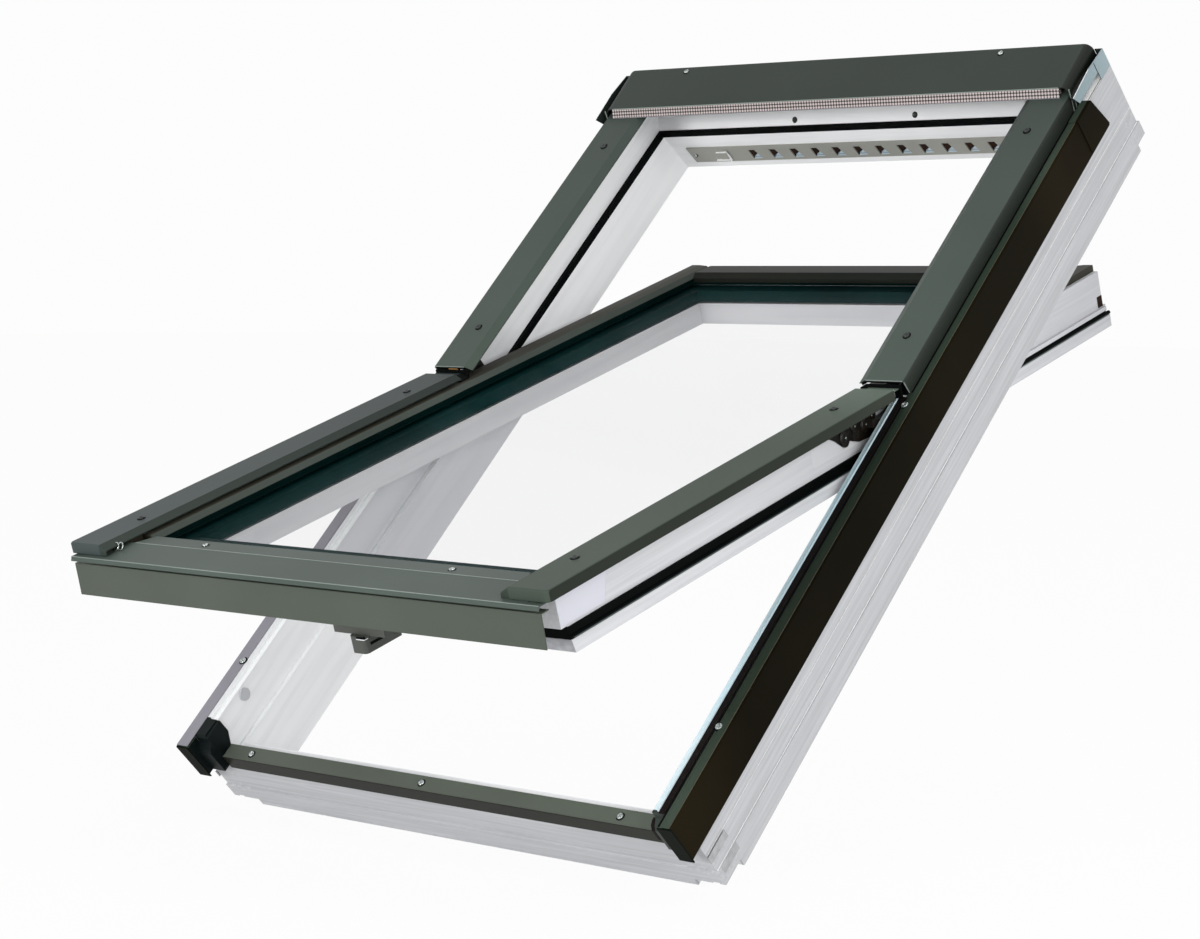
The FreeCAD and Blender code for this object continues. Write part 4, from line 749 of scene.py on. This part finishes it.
# Ribbed lugs of the pivot hinges, each with its rivet, on a dark back plate
lugs = {
    "at": ((546.0, 97.3, 8.0), (566.5, 104.0, 6.2), (588.0, 99.0, 8.2), (601.0, 105.0, 6.0)),
    "base": 336.0, "height": 4.2, "ribs": 2, "flare": 1.2, "swell": 1.09, "waist": 0.94, "round": 1.2,
    "segments": 24, "rivet": 1.3, "flat": 0.6,
}
hingeBack = {
    "body": "leaf", "finish": "lugBlack", "slot": "hinge_steel", "mirrored": True,
    "sheets": ((((513, 109), (530, 98), (541, 88), (556, 90), (573, 83), (612, 80), (612, 116.8),
                 (513, 116.8)), 336.1, 337.6),),
}


def addLug(shape, hand, up, out, radius):
    lug = bmesh.new()
    bmesh.ops.create_cone(lug, cap_ends=True, segments=lugs["segments"], radius1=radius + lugs["flare"],
                          radius2=radius, depth=lugs["height"])
    ring = [e for e in lug.edges if abs(e.verts[0].co.z - e.verts[1].co.z) > 1.0]
    bmesh.ops.subdivide_edges(lug, edges=ring, cuts=2 * lugs["ribs"])
    levels = sorted({round(v.co.z, 3) for v in lug.verts})
    for index, level in enumerate(levels[1:-1]):
        belt = [v for v in lug.verts if abs(v.co.z - level) < 0.01]
        grow = lugs["swell"] if index % 2 == 0 else lugs["waist"]
        bmesh.ops.scale(lug, vec=(grow, grow, 1), verts=belt)
    bmesh.ops.bevel(lug, geom=list(topFace(lug).edges), offset=lugs["round"], segments=3, profile=0.5,
                    affect="EDGES", material=-1)
    middle = Matrix.Translation((hand * (lugs["base"] + lugs["height"] / 2), up, out))
    joinInto(shape, lug, middle @ about("Y", 90 * hand))


shape = bmesh.new()
rivets = bmesh.new()
for hand in (1, -1):
    for up, out, radius in lugs["at"]:
        addLug(shape, hand, up, out, radius)
        made = bmesh.ops.create_uvsphere(rivets, u_segments=16, v_segments=8, radius=lugs["rivet"])["verts"]
        bmesh.ops.scale(rivets, vec=(lugs["flat"], 1, 1), verts=made)
        bmesh.ops.translate(rivets, vec=(hand * (lugs["base"] + lugs["height"]), up, out), verts=made)
keep("hinge_lugs", shape, "leaf", "lugBlack", True)
build("hinge_backs", hingeBack)
keep("hinge_rivets", rivets, "leaf", "screwSteel", True)
print("added the hinge lugs")

# Wire clip where the left side cover, the bead and the bottom cover meet
clip = {"at": (-312.0, 8.0, 127.0), "coil": 4.4, "wire": 0.8, "turns": 2, "across": 6.0, "up": 1.5, "out": 1.5,
        "lean": 62}
shape = bmesh.new()
for turn in range(clip["turns"]):
    ring = bmesh.ops.create_circle(shape, segments=10, radius=clip["wire"])["verts"]
    bmesh.ops.translate(shape, vec=(clip["coil"], 0, 0), verts=ring)
    bmesh.ops.rotate(shape, cent=(clip["coil"], 0, 0), matrix=about("X", 90).to_3x3(), verts=ring)
    rim = [e for e in shape.edges if all(v in ring for v in e.verts)]
    made = bmesh.ops.spin(shape, geom=ring + rim, cent=(0, 0, 0), axis=(0, 0, 1), angle=2 * math.pi,
                          steps=20, use_merge=True)
    loop = [v for v in shape.verts if abs(v.co.z) < clip["wire"] + 0.01]
    bmesh.ops.rotate(shape, cent=(0, 0, 0), matrix=about("X", clip["lean"]).to_3x3(), verts=loop)
    shift = Vector((turn * clip["across"], turn * clip["up"], clip["out"]))
    bmesh.ops.translate(shape, vec=Vector(clip["at"]) + shift, verts=loop)
bmesh.ops.recalc_face_normals(shape, faces=shape.faces)
keep("wire_clip", shape, "leaf", "screwSteel", True)

# Handle: a painted highlight on the lip under the finger slot, and painted shade in the slot and in the groove
# along its side
handlePieces = {
    "handle_lip_highlight": {"body": "leaf", "finish": "paintedHighlight", "slot": "cover_metal",
                   "bars": (((-1, 59.5, 19.4), (12.3, 60.6, 20.6), 0.3),
                            ((11.8, 60.0, 19.4), (12.4, 66.0, 20.4), 0.2))},
    "handle_slot_shade": {"body": "leaf", "finish": "innerDark", "slot": "black_plastic",
                    "bars": (((0, 59.6, 20.7), (12.25, 62.0, 23.2), 0.2),
                             ((11.6, 68, 11), (12.3, 112, 14.5), 0.3),
                             ((11.6, 68, 20.7), (12.3, 112, 22.8), 0.3))},
}
for name, settings in handlePieces.items():
    build(name, settings)
print("added the clip and the handle's slot")

# Studio: pale floor, white surroundings, soft lamps and the camera
studio = {
    "floor": {"colour": "#ffffff", "roughness": 0.9, "specular": 0.0}, "floorSize": 60.0, "floorGlow": 0.93,
    "surround": 0.6, "backdrop": 0.98,
    "lamps": (
        ("keyLamp", (-0.6, -7.0, 0.45), 3.0, 360.0),
        ("fillLamp", (3.9, -1.4, 1.3), 2.6, 76.0),
        ("topLamp", (0.2, 0.6, 4.0), 2.4, 12.0),
    ),
    "aim": (0.0, 0.35, 0.45),
}


# 1 where a place is seen straight, in a reflection or through glass, 0 where it only lights
def seenDirectly(tree):
    rays = tree.nodes.new("ShaderNodeLightPath")
    share = mathOn(tree, "MAXIMUM", rays.outputs["Is Camera Ray"], rays.outputs["Is Glossy Ray"])
    return mathOn(tree, "MAXIMUM", share, rays.outputs["Is Transmission Ray"])


def blendShaders(tree, share, first, second, output):
    blend = tree.nodes.new("ShaderNodeMixShader")
    tree.links.new(share, blend.inputs["Fac"])
    tree.links.new(first, blend.inputs[1])
    tree.links.new(second, blend.inputs[2])
    tree.links.new(blend.outputs["Shader"], tree.nodes[output].inputs["Surface"])


floorMesh = bmesh.new()
bmesh.ops.create_grid(floorMesh, x_segments=1, y_segments=1, size=studio["floorSize"] / 2)
bmesh.ops.translate(floorMesh, vec=(0, 0, cadBox[0].z), verts=floorMesh.verts)
floorData = bpy.data.meshes.new("studio_floor")
floorMesh.to_mesh(floorData)
floorMesh.free()
floor = bpy.data.objects.new("studio_floor", floorData)
bpy.context.scene.collection.objects.link(floor)
floorFinish = startFinish("floorFinish", studio["floor"])
tree = floorFinish.node_tree
glow = tree.nodes.new("ShaderNodeEmission")
glow.inputs["Color"].default_value = (1, 1, 1, 1)
share = mathOn(tree, "MULTIPLY", seenDirectly(tree), studio["floorGlow"])
blendShaders(tree, share, tree.nodes["Principled BSDF"].outputs["BSDF"], glow.outputs["Emission"],
             "Material Output")
floorData.materials.append(floorFinish)

world = bpy.data.worlds.new("studioWorld")
world.use_nodes = True
bpy.context.scene.world = world
tree = world.node_tree
lit = tree.nodes["Background"]
seen = tree.nodes.new("ShaderNodeBackground")
for background, strength in ((lit, studio["surround"]), (seen, studio["backdrop"])):
    background.inputs["Color"].default_value = (1, 1, 1, 1)
    background.inputs["Strength"].default_value = strength
blendShaders(tree, seenDirectly(tree), lit.outputs["Background"], seen.outputs["Background"], "World Output")

for name, at, size, power in studio["lamps"]:
    light = bpy.data.lights.new(name, "AREA")
    light.shape = "DISK"
    light.size = size
    light.energy = power
    lamp = bpy.data.objects.new(name, light)
    lamp.location = at
    lamp.rotation_euler = (Vector(studio["aim"]) - Vector(at)).to_track_quat("-Z", "Y").to_euler()
    bpy.context.scene.collection.objects.link(lamp)

viewpoint = {"at": (2.227742, -2.318583, 0.625263), "turn": (86.4314, -0.4908, 41.1039), "lens": 84.4658,
             "sensor": 36.0}
eye = bpy.data.cameras.new("photoCamera")
eye.lens = viewpoint["lens"]
eye.sensor_width = viewpoint["sensor"]
camera = bpy.data.objects.new("photoCamera", eye)
camera.location = viewpoint["at"]
camera.rotation_euler = [math.radians(angle) for angle in viewpoint["turn"]]
bpy.context.scene.collection.objects.link(camera)
bpy.context.scene.camera = camera
bpy.context.scene.view_settings.view_transform = "Standard"
print("set the studio")
